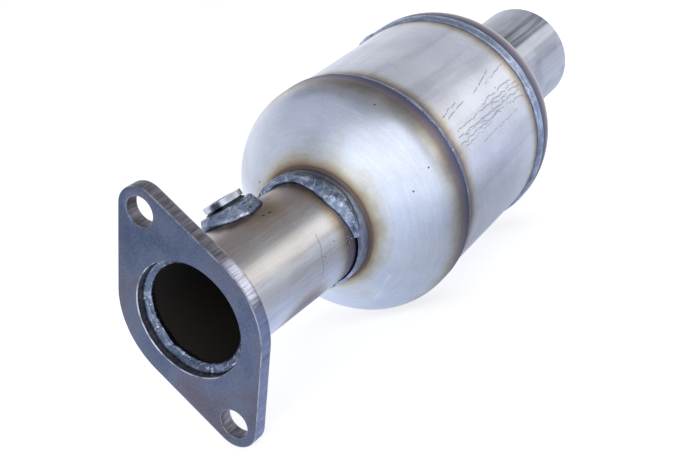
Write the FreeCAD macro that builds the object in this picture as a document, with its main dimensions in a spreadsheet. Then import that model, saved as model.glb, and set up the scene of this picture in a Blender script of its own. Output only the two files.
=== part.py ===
import FreeCAD
import Part
import Sketcher
import math
import os

# Catalytic converter: inlet flange and pipe, two domed cones on a round shell, outlet pipe.
# Frame: origin at the centre of the inlet flange's gasket face, +X with the gas, +Z through
# the upper bolt hole. The canister leans a few degrees off the inlet pipe.
# Lengths are in millimetres and angles in degrees.

SIZES = {
    # inlet flange, a two-bolt laser-cut plate
    "flange_thickness": 6.6,
    "bolt_spacing": 96.0,
    "bolt_hole": 13.6,
    "bolt_lobe_radius": 11.0,
    "flange_middle_radius": 36.5,
    "flange_edge_break": 0.4,
    # inlet pipe, and its play in the flange's bore and in the cone's collar
    "inlet_pipe_diameter": 50.8,
    "inlet_pipe_wall": 1.5,
    "inlet_pipe_recess": 4.4,
    "inlet_pipe_tail": 5.5,
    "flange_bore_play": 1.0,
    "collar_play": 1.1,
    # lean of the canister off the inlet pipe, turned at the neck
    "neck_station": 85.5,
    "neck_rise": 0.5,
    "lean_side_angle": 2.5,
    "lean_up_angle": 2.0,
    # weld bead inside the flange and over the pipe's end, and the open bead round the neck
    "flange_weld_toe": 1.0,
    "flange_weld_spill": 3.8,
    "flange_weld_crown": 2.75,
    "neck_weld_radius": 3.3,
    "neck_weld_root": 0.7,
    "neck_weld_start_angle": 185.0,
    "neck_weld_sweep_angle": 289.0,
    # temperature sensor boss, as high above the inlet pipe as boss_height, and its weld
    "boss_station": 50.3,
    "boss_angle": 10.5,
    "boss_height": 8.6,
    "boss_diameter": 18.5,
    "boss_bore": 10.8,
    "sensor_hole": 13.2,
    "boss_bore_chamfer": 0.8,
    "boss_lip": 2.6,
    "boss_neck_width": 0.7,
    "boss_neck_depth": 0.8,
    "boss_seat_play": 0.05,
    "boss_weld_length": 30.0,
    "boss_weld_width": 25.0,
    "boss_weld_shift": 1.8,
    "boss_weld_crown_length": 23.0,
    "boss_weld_crown_width": 20.0,
    "boss_weld_drop": 0.5,
    # shell and the two cones that slip over its ends
    "shell_diameter": 114.3,
    "shell_wall": 1.25,
    "shell_exposed": 88.5,
    "skirt_play": 0.05,
    "inlet_skirt": 6.1,
    "outlet_skirt": 3.0,
    "inlet_shell_overlap": 5.5,
    "outlet_shell_overlap": 2.0,
    "cone_wall": 1.25,
    "cone_depth": 41.4,
    "cone_shoulder_radius": 22.0,
    "cone_dome_radius": 79.3,
    "inlet_collar_length": 8.1,
    "outlet_collar_length": 9.2,
    "crease_fillet": 1.6,
    # weld beads between skirts and shell, and along the rolled shell's joint
    "seam_weld_width": 3.6,
    "seam_weld_lap": 1.1,
    "seam_weld_crown": 4.3,
    "seam_weld_play": 0.05,
    "stop_lump_length": 10.5,
    "stop_lump_width": 5.0,
    "stop_lump_height": 2.2,
    "inlet_lump_angle": 27.0,
    "outlet_lump_angle": 22.0,
    "joint_weld_width": 4.0,
    "joint_weld_crown": 4.0,
    "joint_weld_angle": 150.0,
    "joint_weld_end_play": 0.4,
    # outlet pipe
    "outlet_pipe_diameter": 57.0,
    "outlet_pipe_wall": 1.5,
    "outlet_pipe_tail": 8.0,
    "outlet_pipe_reach": 65.1,
    "outlet_sizing_depth": 0.6,
    "outlet_sizing_run": 0.4,
    "outlet_collar_play": 0.3,
    "outlet_neck_weld_leg": 4.2,
    "outlet_neck_weld_crown": 6.5,
    # ceramic brick with square channels, its mat and the knitted rings at the mat's ends
    "brick_length": 76.2,
    "brick_skin": 1.2,
    "channel_pitch": 6.35,
    "channel_wall": 1.0,
    "seal_width": 6.0,
    "mat_thickness": 5.1,
    "mat_play": 0.05,
}


doc = FreeCAD.newDocument("converter")
sheet = doc.addObject("Spreadsheet::Sheet", "Sizes")
for row, (alias, value) in enumerate(SIZES.items(), start=1):
    sheet.set(f"A{row}", alias.replace("_", " "))
    sheet.set(f"B{row}", str(value))
    sheet.setAlias(f"B{row}", alias)
doc.recompute()


def size(alias):
    return float(sheet.get(alias))


def sheet_terms(text):
    """Put the sheet's name before each size named in an expression."""
    words = text.split()
    return " ".join(f"Sizes.{word}" if word in SIZES else word for word in words)


def bind(thing, path, text):
    thing.setExpression(path, sheet_terms(text))


# Shared places: the boss frame is turned about the pipe, the canister frame starts at the neck.
def boss_frame(station):
    turn = FreeCAD.Rotation(FreeCAD.Vector(1, 0, 0), -size("boss_angle"))
    return FreeCAD.Placement(FreeCAD.Vector(station, 0, 0), turn)


def canister_frame(station):
    side = FreeCAD.Rotation(FreeCAD.Vector(0, 0, 1), size("lean_side_angle"))
    up = FreeCAD.Rotation(FreeCAD.Vector(0, 1, 0), -size("lean_up_angle"))
    neck = FreeCAD.Vector(size("neck_station"), 0, size("neck_rise"))
    frame = FreeCAD.Placement(neck, side.multiply(up))
    return frame.multiply(FreeCAD.Placement(FreeCAD.Vector(station, 0, 0), FreeCAD.Rotation()))


def faced_back(place):
    """Turn a place end for end, for a piece drawn from its outlet side."""
    half_turn = FreeCAD.Rotation(FreeCAD.Vector(0, 0, 1), 180)
    return place.multiply(FreeCAD.Placement(FreeCAD.Vector(), half_turn))


def new_body(label, place=None):
    body = doc.addObject("PartDesign::Body", label)
    body.Label = label
    if place:
        body.Placement = place
    return body


def new_sketch(body, role, name):
    sketch = body.newObject("Sketcher::SketchObject", name)
    plane = next(item for item in body.Origin.OriginFeatures if item.Role == role)
    sketch.AttachmentSupport = (plane, "")
    sketch.MapMode = "FlatFace"
    return sketch


def measure(sketch, constraint, text):
    """Add a dimension to a sketch and bind it to the sheet."""
    index = sketch.addConstraint(constraint)
    name = f"size{index}"
    sketch.renameConstraint(index, name)
    bind(sketch, f"Constraints.{name}", text)


# How a sketch numbers an edge's points and its own axes, and what counts as the same length.
START = 1
END = 2
CENTRE = 3
ALONG = -1
UPRIGHT = -2
ROOT = (ALONG, START)
NEAR = 1e-6


def circle(sketch, radius, text, centre=None):
    """Draw a bound circle on the sketch's origin, or on a centre placed by the caller."""
    place = centre or FreeCAD.Vector()
    index = sketch.addGeometry(Part.Circle(place, FreeCAD.Vector(0, 0, 1), radius))
    if centre is None:
        sketch.addConstraint(Sketcher.Constraint("Coincident", index, CENTRE, *ROOT))
    measure(sketch, Sketcher.Constraint("Radius", index, radius), text)
    return index


def pad(body, sketch, length_text):
    feature = body.newObject("PartDesign::Pad", f"{body.Name}_pad")
    feature.Profile = sketch
    bind(feature, "Length", length_text)
    sketch.Visibility = False
    return feature


def revolve(body, sketch, axis="H_Axis", angle_text=None):
    feature = body.newObject("PartDesign::Revolution", f"{body.Name}_revolve")
    feature.Profile = sketch
    feature.ReferenceAxis = (sketch, [axis])
    feature.Angle = 360
    if angle_text:
        bind(feature, "Angle", angle_text)
    return feature


def pocket(body, sketch, name, upwards=False, both_ways=False):
    """Cut right through from the sketch's plane, and make sure that something was cut."""
    doc.recompute()
    before = body.Shape.Volume
    feature = body.newObject("PartDesign::Pocket", name)
    feature.Profile = sketch
    feature.Type = "ThroughAll"
    feature.Reversed = upwards
    feature.Midplane = both_ways
    doc.recompute()
    if body.Shape.Volume >= before:
        raise ValueError(f"{name} cuts nothing")
    return feature


def closed_profile(sketch, corners):
    """Draw straight edges from corner to corner, joined end to end. Returns the edges' numbers."""
    edges = []
    for start, end in zip(corners, corners[1:] + corners[:1]):
        line = Part.LineSegment(FreeCAD.Vector(*start, 0), FreeCAD.Vector(*end, 0))
        edges.append(sketch.addGeometry(line))
    for edge, following in zip(edges, edges[1:] + edges[:1]):
        sketch.addConstraint(Sketcher.Constraint("Coincident", edge, END, following, START))
    return edges


def place_point(sketch, edge, end, x_text, y_text, point):
    """Pin one end of an edge to bound distances from the sketch's origin."""
    across = Sketcher.Constraint("DistanceX", *ROOT, edge, end, point[0])
    measure(sketch, across, x_text)
    up = Sketcher.Constraint("DistanceY", *ROOT, edge, end, point[1])
    measure(sketch, up, y_text)


def tube(label, place, diameter, wall, length_text):
    """A round tube along +X from its own origin."""
    body = new_body(label, place)
    sketch = new_sketch(body, "YZ_Plane", f"{label}_section")
    circle(sketch, size(diameter) / 2, f"{diameter} / 2")
    circle(sketch, size(diameter) / 2 - size(wall), f"{diameter} / 2 - {wall}")
    pad(body, sketch, length_text)
    return body


# Inlet flange: a lozenge of two bolt lobes and a round middle, joined by tangent straights.
def lozenge_tangent(middle, lobe, reach):
    """Where a straight leaves the middle circle and meets the lobe, in the upper right quarter."""
    slope = math.asin((middle - lobe) / reach)
    across = math.cos(slope)
    up = math.sin(slope)
    return (middle * across, middle * up), (lobe * across, reach + lobe * up)


def draw_lozenge(sketch):
    middle = size("flange_middle_radius")
    lobe = size("bolt_lobe_radius")
    reach = size("bolt_spacing") / 2
    low, high = lozenge_tangent(middle, lobe, reach)
    low_angle = math.atan2(low[1], low[0])
    out = FreeCAD.Vector(0, 0, 1)

    def arc(centre, radius, start, end):
        ring = Part.Circle(FreeCAD.Vector(*centre, 0), out, radius)
        return sketch.addGeometry(Part.ArcOfCircle(ring, start, end))

    def straight(start, end):
        return sketch.addGeometry(
            Part.LineSegment(FreeCAD.Vector(*start, 0), FreeCAD.Vector(*end, 0)))

    right = arc((0, 0), middle, -low_angle, low_angle)
    right_up = straight(low, high)
    top = arc((0, reach), lobe, low_angle, math.pi - low_angle)
    left_up = straight((-high[0], high[1]), (-low[0], low[1]))
    left = arc((0, 0), middle, math.pi - low_angle, math.pi + low_angle)
    left_down = straight((-low[0], -low[1]), (-high[0], -high[1]))
    bottom = arc((0, -reach), lobe, math.pi + low_angle, 2 * math.pi - low_angle)
    right_down = straight((high[0], -high[1]), (low[0], -low[1]))
    outline = [right, right_up, top, left_up, left, left_down, bottom, right_down]
    for edge, following in zip(outline, outline[1:] + outline[:1]):
        sketch.addConstraint(Sketcher.Constraint("Tangent", edge, END, following, START))
    sketch.addConstraint(Sketcher.Constraint("Coincident", right, CENTRE, *ROOT))
    sketch.addConstraint(Sketcher.Constraint("Coincident", left, CENTRE, *ROOT))
    sketch.addConstraint(Sketcher.Constraint("PointOnObject", top, CENTRE, UPRIGHT))
    sketch.addConstraint(Sketcher.Constraint("PointOnObject", bottom, CENTRE, UPRIGHT))
    measure(sketch, Sketcher.Constraint("DistanceY", *ROOT, top, CENTRE, reach), "bolt_spacing / 2")
    measure(sketch, Sketcher.Constraint("DistanceY", bottom, CENTRE, *ROOT, reach), "bolt_spacing / 2")
    measure(sketch, Sketcher.Constraint("Radius", right, middle), "flange_middle_radius")
    measure(sketch, Sketcher.Constraint("Radius", top, lobe), "bolt_lobe_radius")
    measure(sketch, Sketcher.Constraint("Radius", bottom, lobe), "bolt_lobe_radius")
    for lobe_arc in (top, bottom):
        hole = circle(sketch, size("bolt_hole") / 2, "bolt_hole / 2",
                      FreeCAD.Vector(0, reach if lobe_arc == top else -reach, 0))
        sketch.addConstraint(Sketcher.Constraint("Coincident", hole, CENTRE, lobe_arc, CENTRE))


def round_edge_names(shape, station, radius):
    """Names of the full circles of one radius that lie across X at one station."""
    names = []
    for number, edge in enumerate(shape.Edges, start=1):
        if not isinstance(edge.Curve, Part.Circle):
            continue
        off_station = abs(edge.Curve.Center.x - station)
        off_radius = abs(edge.Curve.Radius - radius)
        if off_station < NEAR and off_radius < NEAR:
            names.append(f"Edge{number}")
    return names


def make_inlet_flange():
    body = new_body("inlet_flange")
    sketch = new_sketch(body, "YZ_Plane", "flange_outline")
    draw_lozenge(sketch)
    bore_text = "inlet_pipe_diameter / 2 + flange_bore_play"
    bore = size("inlet_pipe_diameter") / 2 + size("flange_bore_play")
    circle(sketch, bore, bore_text)
    plate = pad(body, sketch, "flange_thickness")
    doc.recompute()
    edge_break = body.newObject("PartDesign::Chamfer", "flange_edge_break")
    edge_break.Base = (plate, round_edge_names(plate.Shape, 0, bore))
    bind(edge_break, "Size", "flange_edge_break")
    return body


# Inlet pipe: drawn in the boss frame, so that the sensor hole is straight above its axis.
def make_inlet_pipe():
    length = "neck_station + inlet_pipe_tail - inlet_pipe_recess"
    place = boss_frame(size("inlet_pipe_recess"))
    body = tube("inlet_pipe", place, "inlet_pipe_diameter", "inlet_pipe_wall", length)
    sketch = new_sketch(body, "XY_Plane", "sensor_hole")
    hole = size("sensor_hole") / 2
    along = size("boss_station") - size("inlet_pipe_recess")
    index = circle(sketch, hole, "sensor_hole / 2", FreeCAD.Vector(along, 0, 0))
    sketch.addConstraint(Sketcher.Constraint("PointOnObject", index, CENTRE, ALONG))
    measure(sketch, Sketcher.Constraint("DistanceX", *ROOT, index, CENTRE, along),
            "boss_station - inlet_pipe_recess")
    pocket(body, sketch, "sensor_hole_cut", upwards=True)
    return body


def bowed_arc(sketch, start, end, radius, away_from):
    """An arc of one radius from start to end that bows away from a point."""
    middle = ((start[0] + end[0]) / 2, (start[1] + end[1]) / 2)
    half = math.dist(start, end) / 2
    normal = ((end[1] - start[1]) / (2 * half), (start[0] - end[0]) / (2 * half))
    toward = normal[0] * (away_from[0] - middle[0]) + normal[1] * (away_from[1] - middle[1])
    side = 1 if toward > 0 else -1
    sink = math.sqrt(radius ** 2 - half ** 2) - radius
    crest = (middle[0] + side * normal[0] * sink, middle[1] + side * normal[1] * sink)
    bow = Part.Arc(*[FreeCAD.Vector(*point, 0) for point in (start, crest, end)])
    arc = sketch.addGeometry(bow)
    return (arc,) + arc_ends(sketch, arc, start)


def crowned_fillet(sketch, foot, corner, top, texts):
    """A weld's section: two straight legs from a corner, and an outward arc between their ends.

    The texts give the corner's radius, the leg along X, the leg across and the crown's name.
    """
    radius_text, along_text, across_text, crown = texts
    legs = [
        Part.LineSegment(FreeCAD.Vector(*foot, 0), FreeCAD.Vector(*corner, 0)),
        Part.LineSegment(FreeCAD.Vector(*corner, 0), FreeCAD.Vector(*top, 0)),
    ]
    along, across = [sketch.addGeometry(leg) for leg in legs]
    arc, first, last = bowed_arc(sketch, top, foot, size(crown), corner)
    sketch.addConstraint(Sketcher.Constraint("Coincident", along, END, across, START))
    sketch.addConstraint(Sketcher.Constraint("Coincident", across, END, arc, first))
    sketch.addConstraint(Sketcher.Constraint("Coincident", arc, last, along, START))
    sketch.addConstraint(Sketcher.Constraint("Horizontal", along))
    sketch.addConstraint(Sketcher.Constraint("Vertical", across))
    sketch.addConstraint(Sketcher.Constraint("PointOnObject", along, END, UPRIGHT))
    run = foot[0] - corner[0]
    rise = top[1] - corner[1]
    measure(sketch, Sketcher.Constraint("DistanceY", *ROOT, along, END, corner[1]), radius_text)
    measure(sketch, Sketcher.Constraint("DistanceX", along, END, along, START, run), along_text)
    measure(sketch, Sketcher.Constraint("DistanceY", across, START, across, END, rise), across_text)
    measure(sketch, Sketcher.Constraint("Radius", arc, size(crown)), crown)


def arc_ends(sketch, arc, first_point):
    """Numbers of the arc's ends, the one at first_point first."""
    start = sketch.getPoint(arc, START)
    at_start = math.dist((start.x, start.y), first_point) < NEAR
    return (START, END) if at_start else (END, START)


def lapped_weld(sketch, toe, corner, top, lap, texts):
    """A weld's section that runs from its toe over an edge: toe, corner, edge, lap and crown.

    The toe and the lap lie along X from the edge, on opposite sides. The texts give the radius
    at the toe, the toe's length, the radius at the lap, the lap's length and the crown's name.
    """
    corners = [toe, corner, top, lap]
    edges = []
    for start, end in zip(corners, corners[1:]):
        line = Part.LineSegment(FreeCAD.Vector(*start, 0), FreeCAD.Vector(*end, 0))
        edges.append(sketch.addGeometry(line))
    low, edge, high = edges
    crown = texts[-1]
    arc, first, last = bowed_arc(sketch, lap, toe, size(crown), corner)
    sketch.addConstraint(Sketcher.Constraint("Coincident", low, END, edge, START))
    sketch.addConstraint(Sketcher.Constraint("Coincident", edge, END, high, START))
    sketch.addConstraint(Sketcher.Constraint("Coincident", high, END, arc, first))
    sketch.addConstraint(Sketcher.Constraint("Coincident", arc, last, low, START))
    sketch.addConstraint(Sketcher.Constraint("Horizontal", low))
    sketch.addConstraint(Sketcher.Constraint("Vertical", edge))
    sketch.addConstraint(Sketcher.Constraint("Horizontal", high))
    sketch.addConstraint(Sketcher.Constraint("PointOnObject", low, END, UPRIGHT))
    toe_radius, toe_length, lap_radius, lap_length = texts[:-1]
    toe_ends = (low, END, low, START) if toe[0] > 0 else (low, START, low, END)
    lap_ends = (high, START, high, END) if lap[0] > 0 else (high, END, high, START)
    measure(sketch, Sketcher.Constraint("DistanceY", *ROOT, low, END, corner[1]), toe_radius)
    measure(sketch, Sketcher.Constraint("DistanceY", *ROOT, high, START, top[1]), lap_radius)
    measure(sketch, Sketcher.Constraint("DistanceX", *toe_ends, abs(toe[0])), toe_length)
    measure(sketch, Sketcher.Constraint("DistanceX", *lap_ends, abs(lap[0])), lap_length)
    measure(sketch, Sketcher.Constraint("Radius", arc, size(crown)), crown)


def make_inlet_flange_weld():
    """The bead on the flange's bore that covers the pipe's end and spills a little into the pipe."""
    place = FreeCAD.Placement(FreeCAD.Vector(size("inlet_pipe_recess"), 0, 0), FreeCAD.Rotation())
    body = new_body("inlet_flange_weld", place)
    sketch = new_sketch(body, "XZ_Plane", "flange_weld_section")
    bore = size("inlet_pipe_diameter") / 2 + size("flange_bore_play")
    inside = size("inlet_pipe_diameter") / 2 - size("inlet_pipe_wall")
    texts = ("inlet_pipe_diameter / 2 + flange_bore_play", "flange_weld_toe",
             "inlet_pipe_diameter / 2 - inlet_pipe_wall", "flange_weld_spill",
             "flange_weld_crown")
    lapped_weld(sketch, (-size("flange_weld_toe"), bore), (0, bore), (0, inside),
                (size("flange_weld_spill"), inside), texts)
    revolve(body, sketch)
    return body


# Sensor boss: a turned boss with a clean lip above a narrow neck, saddled onto the pipe.
def cut_pipe_saddle(body, play_text, play):
    sketch = new_sketch(body, "YZ_Plane", f"{body.Name}_saddle")
    radius = size("inlet_pipe_diameter") / 2 + play
    circle(sketch, radius, f"inlet_pipe_diameter / 2 + {play_text}")
    pocket(body, sketch, f"{body.Name}_saddle_cut", both_ways=True)


def make_sensor_boss():
    body = new_body("sensor_boss", boss_frame(size("boss_station")))
    sketch = new_sketch(body, "XZ_Plane", "boss_section")
    outer = size("boss_diameter") / 2
    inner = size("boss_bore") / 2
    waist = outer - size("boss_neck_depth")
    top = size("inlet_pipe_diameter") / 2 + size("boss_height")
    lip = top - size("boss_lip")
    neck = lip - size("boss_neck_width")
    base = size("inlet_pipe_diameter") / 2 - size("inlet_pipe_wall")
    corners = [(inner, base), (outer, base), (outer, neck), (waist, neck),
               (waist, lip), (outer, lip), (outer, top), (inner, top)]
    edges = closed_profile(sketch, corners)
    outer_text = "boss_diameter / 2"
    waist_text = "boss_diameter / 2 - boss_neck_depth"
    inner_text = "boss_bore / 2"
    top_text = "inlet_pipe_diameter / 2 + boss_height"
    lip_text = f"{top_text} - boss_lip"
    neck_text = f"{lip_text} - boss_neck_width"
    base_text = "inlet_pipe_diameter / 2 - inlet_pipe_wall"
    texts = [(inner_text, base_text), (outer_text, base_text), (outer_text, neck_text),
             (waist_text, neck_text), (waist_text, lip_text), (outer_text, lip_text),
             (outer_text, top_text), (inner_text, top_text)]
    for edge, (across, up), corner in zip(edges, texts, corners):
        place_point(sketch, edge, START, across, up, corner)
    revolve(body, sketch, "V_Axis")
    cut_pipe_saddle(body, "boss_seat_play", size("boss_seat_play"))
    saddled = body.Tip
    rims = [f"Edge{number}" for number, edge in enumerate(saddled.Shape.Edges, start=1)
            if isinstance(edge.Curve, Part.Circle)
            and abs(edge.Curve.Radius - inner) < NEAR and abs(edge.Curve.Center.z - top) < NEAR]
    mouth = body.newObject("PartDesign::Chamfer", "boss_mouth")
    mouth.Base = (saddled, rims)
    bind(mouth, "Size", "boss_bore_chamfer")
    return body


def make_sensor_boss_weld():
    """A heavy oval fillet, longer along the pipe, filling up to just under the boss's lip."""
    body = new_body("sensor_boss_weld", boss_frame(size("boss_station")))
    shift = -size("boss_weld_shift")
    pipe = size("inlet_pipe_diameter") / 2
    low = pipe - size("inlet_pipe_wall")
    room = size("boss_lip") + size("boss_neck_width") + size("boss_weld_drop")
    high = pipe + size("boss_height") - room
    high_text = ("inlet_pipe_diameter / 2 + boss_height"
                 " - boss_lip - boss_neck_width - boss_weld_drop")
    levels = [
        ("weld_foot", low, "inlet_pipe_diameter / 2 - inlet_pipe_wall", "boss_weld_length",
         "boss_weld_width"),
        ("weld_crown", high, high_text, "boss_weld_crown_length", "boss_weld_crown_width"),
    ]
    sketches = []
    for name, level, level_text, length, width in levels:
        sketch = new_sketch(body, "XY_Plane", name)
        sketch.AttachmentOffset = FreeCAD.Placement(
            FreeCAD.Vector(shift, 0, level), FreeCAD.Rotation())
        bind(sketch, "AttachmentOffset.Base.x", "- boss_weld_shift")
        bind(sketch, "AttachmentOffset.Base.z", level_text)
        long_end = FreeCAD.Vector(size(length) / 2, 0, 0)
        wide_end = FreeCAD.Vector(0, size(width) / 2, 0)
        oval = sketch.addGeometry(Part.Ellipse(long_end, wide_end, FreeCAD.Vector()))
        sketch.exposeInternalGeometry(oval)
        major, minor = oval + 1, oval + 2
        sketch.addConstraint(Sketcher.Constraint("Coincident", oval, CENTRE, *ROOT))
        sketch.addConstraint(Sketcher.Constraint("Horizontal", major))
        measure(sketch, Sketcher.Constraint("Distance", major, size(length)), length)
        measure(sketch, Sketcher.Constraint("Distance", minor, size(width)), width)
        sketches.append(sketch)
    loft = body.newObject("PartDesign::AdditiveLoft", "boss_weld_body")
    loft.Profile = sketches[0]
    loft.Sections = sketches[1:]
    loft.Ruled = True
    cut_pipe_saddle(body, "0", 0)
    around = new_sketch(body, "XY_Plane", "boss_clearance")
    circle(around, size("boss_diameter") / 2, "boss_diameter / 2")
    pocket(body, around, "boss_clearance_cut", upwards=True)
    return body


# Cones: one stamping each, a collar for the pipe, a domed wall, a rounded shoulder and a skirt.
def crossing(first, first_radius, second, second_radius):
    """The crossing of two circles that lies nearer the canister's axis."""
    apart = math.dist(first, second)
    along = (first_radius ** 2 - second_radius ** 2 + apart ** 2) / (2 * apart)
    off = math.sqrt(first_radius ** 2 - along ** 2)
    unit = ((second[0] - first[0]) / apart, (second[1] - first[1]) / apart)
    foot = (first[0] + along * unit[0], first[1] + along * unit[1])
    ends = [(foot[0] - off * unit[1], foot[1] + off * unit[0]),
            (foot[0] + off * unit[1], foot[1] - off * unit[0])]
    return min(ends, key=lambda end: end[1])


def cone_points(collar_out, collar_length, skirt):
    """Corners and arc centres of a cone's section, from its driving sizes."""
    wall = size("cone_wall")
    skirt_out = size("shell_diameter") / 2 + size("skirt_play") + wall
    shoulder = size("cone_shoulder_radius")
    dome = size("cone_dome_radius")
    turn = size("cone_depth")
    edge = turn + skirt
    shoulder_centre = (turn, skirt_out - shoulder)
    crease = (collar_length, collar_out)
    dome_centre = crossing(shoulder_centre, dome - shoulder, crease, dome)
    reach = math.dist(shoulder_centre, dome_centre)
    away = ((shoulder_centre[0] - dome_centre[0]) / reach,
            (shoulder_centre[1] - dome_centre[1]) / reach)
    blend_out = (dome_centre[0] + dome * away[0], dome_centre[1] + dome * away[1])
    inner_dome = dome - wall
    blend_in = (dome_centre[0] + inner_dome * away[0], dome_centre[1] + inner_dome * away[1])
    collar_in = collar_out - wall
    drop = collar_in - dome_centre[1]
    crease_in = (dome_centre[0] - math.sqrt(inner_dome ** 2 - drop ** 2), collar_in)
    return {
        "rim_out": (0, collar_out), "crease_out": crease, "blend_out": blend_out,
        "turn_out": (turn, skirt_out), "edge_out": (edge, skirt_out),
        "edge_in": (edge, skirt_out - wall), "turn_in": (turn, skirt_out - wall),
        "blend_in": blend_in, "crease_in": crease_in, "rim_in": (0, collar_in),
        "shoulder_centre": shoulder_centre, "dome_centre": dome_centre,
    }


def cone_arc(sketch, centre, start, end):
    """An arc about a centre between two points, drawn the short way round."""
    radius = math.dist(centre, start)
    middle = ((start[0] + end[0]) / 2, (start[1] + end[1]) / 2)
    stretch = radius / math.dist(centre, middle)
    bulge = (centre[0] + (middle[0] - centre[0]) * stretch,
             centre[1] + (middle[1] - centre[1]) * stretch)
    points = [FreeCAD.Vector(*point, 0) for point in (start, bulge, end)]
    index = sketch.addGeometry(Part.Arc(*points))
    return (index,) + arc_ends(sketch, index, start)


def draw_cone(sketch, collar_text, collar_out, end):
    """The closed section of a cone, from the collar's rim out to the skirt's edge and back."""
    length_name = f"{end}_collar_length"
    skirt_name = f"{end}_skirt"
    at = cone_points(collar_out, size(length_name), size(skirt_name))

    def line(start, end):
        segment = Part.LineSegment(FreeCAD.Vector(*at[start], 0), FreeCAD.Vector(*at[end], 0))
        return (sketch.addGeometry(segment), START, END)

    loop = [
        line("rim_out", "crease_out"),
        cone_arc(sketch, at["dome_centre"], at["crease_out"], at["blend_out"]),
        cone_arc(sketch, at["shoulder_centre"], at["blend_out"], at["turn_out"]),
        line("turn_out", "edge_out"),
        line("edge_out", "edge_in"),
        line("edge_in", "turn_in"),
        cone_arc(sketch, at["shoulder_centre"], at["turn_in"], at["blend_in"]),
        cone_arc(sketch, at["dome_centre"], at["blend_in"], at["crease_in"]),
        line("crease_in", "rim_in"),
        line("rim_in", "rim_out"),
    ]
    collar, dome, shoulder, skirt, edge, skirt_in, shoulder_in, dome_in, collar_in, rim = loop
    tangent_pairs = [(dome, shoulder), (shoulder, skirt), (skirt_in, shoulder_in),
                     (shoulder_in, dome_in)]
    for one, following in zip(loop, loop[1:] + loop[:1]):
        kind = "Tangent" if (one, following) in tangent_pairs else "Coincident"
        sketch.addConstraint(Sketcher.Constraint(kind, one[0], one[2], following[0], following[1]))
    for level in (collar, skirt, skirt_in, collar_in):
        sketch.addConstraint(Sketcher.Constraint("Horizontal", level[0]))
    for upright in (edge, rim):
        sketch.addConstraint(Sketcher.Constraint("Vertical", upright[0]))
    sketch.addConstraint(Sketcher.Constraint("Coincident", shoulder[0], CENTRE, shoulder_in[0], CENTRE))
    sketch.addConstraint(Sketcher.Constraint("Coincident", dome[0], CENTRE, dome_in[0], CENTRE))
    sketch.addConstraint(Sketcher.Constraint("PointOnObject", rim[0], START, UPRIGHT))
    skirt_text = "shell_diameter / 2 + skirt_play + cone_wall"
    skirt_out = at["turn_out"][1]
    wall = size("cone_wall")
    measure(sketch, Sketcher.Constraint("DistanceX", *ROOT, collar[0], END, at["crease_out"][0]),
            length_name)
    measure(sketch, Sketcher.Constraint("DistanceY", *ROOT, collar[0], END, collar_out), collar_text)
    measure(sketch, Sketcher.Constraint("DistanceY", *ROOT, skirt[0], END, skirt_out), skirt_text)
    measure(sketch, Sketcher.Constraint("DistanceX", *ROOT, skirt[0], START, at["turn_out"][0]),
            "cone_depth")
    measure(sketch, Sketcher.Constraint("DistanceX", skirt[0], START, skirt[0], END,
                                        size(skirt_name)), skirt_name)
    measure(sketch, Sketcher.Constraint("DistanceY", edge[0], END, edge[0], START, wall), "cone_wall")
    measure(sketch, Sketcher.Constraint("DistanceY", rim[0], START, rim[0], END, wall), "cone_wall")
    measure(sketch, Sketcher.Constraint("Radius", shoulder[0], size("cone_shoulder_radius")),
            "cone_shoulder_radius")
    measure(sketch, Sketcher.Constraint("Radius", dome[0], size("cone_dome_radius")),
            "cone_dome_radius")
    return at


def make_cone(end, place, collar_text, collar_out):
    label = f"{end}_cone"
    body = new_body(label, place)
    sketch = new_sketch(body, "XZ_Plane", f"{label}_section")
    at = draw_cone(sketch, collar_text, collar_out, end)
    shell_of_cone = revolve(body, sketch)
    doc.recompute()
    crease = body.newObject("PartDesign::Fillet", f"{label}_crease")
    names = round_edge_names(shell_of_cone.Shape, *at["crease_out"])
    names += round_edge_names(shell_of_cone.Shape, *at["crease_in"])
    crease.Base = (shell_of_cone, names)
    bind(crease, "Radius", "crease_fillet")
    return body


def inlet_edge():
    """Station of the inlet cone's skirt edge on the canister's axis."""
    return size("cone_depth") + size("inlet_skirt")


def outlet_edge():
    """Station of the outlet cone's skirt edge."""
    return inlet_edge() + size("shell_exposed")


def outlet_rim():
    return outlet_edge() + size("outlet_skirt") + size("cone_depth")


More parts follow.
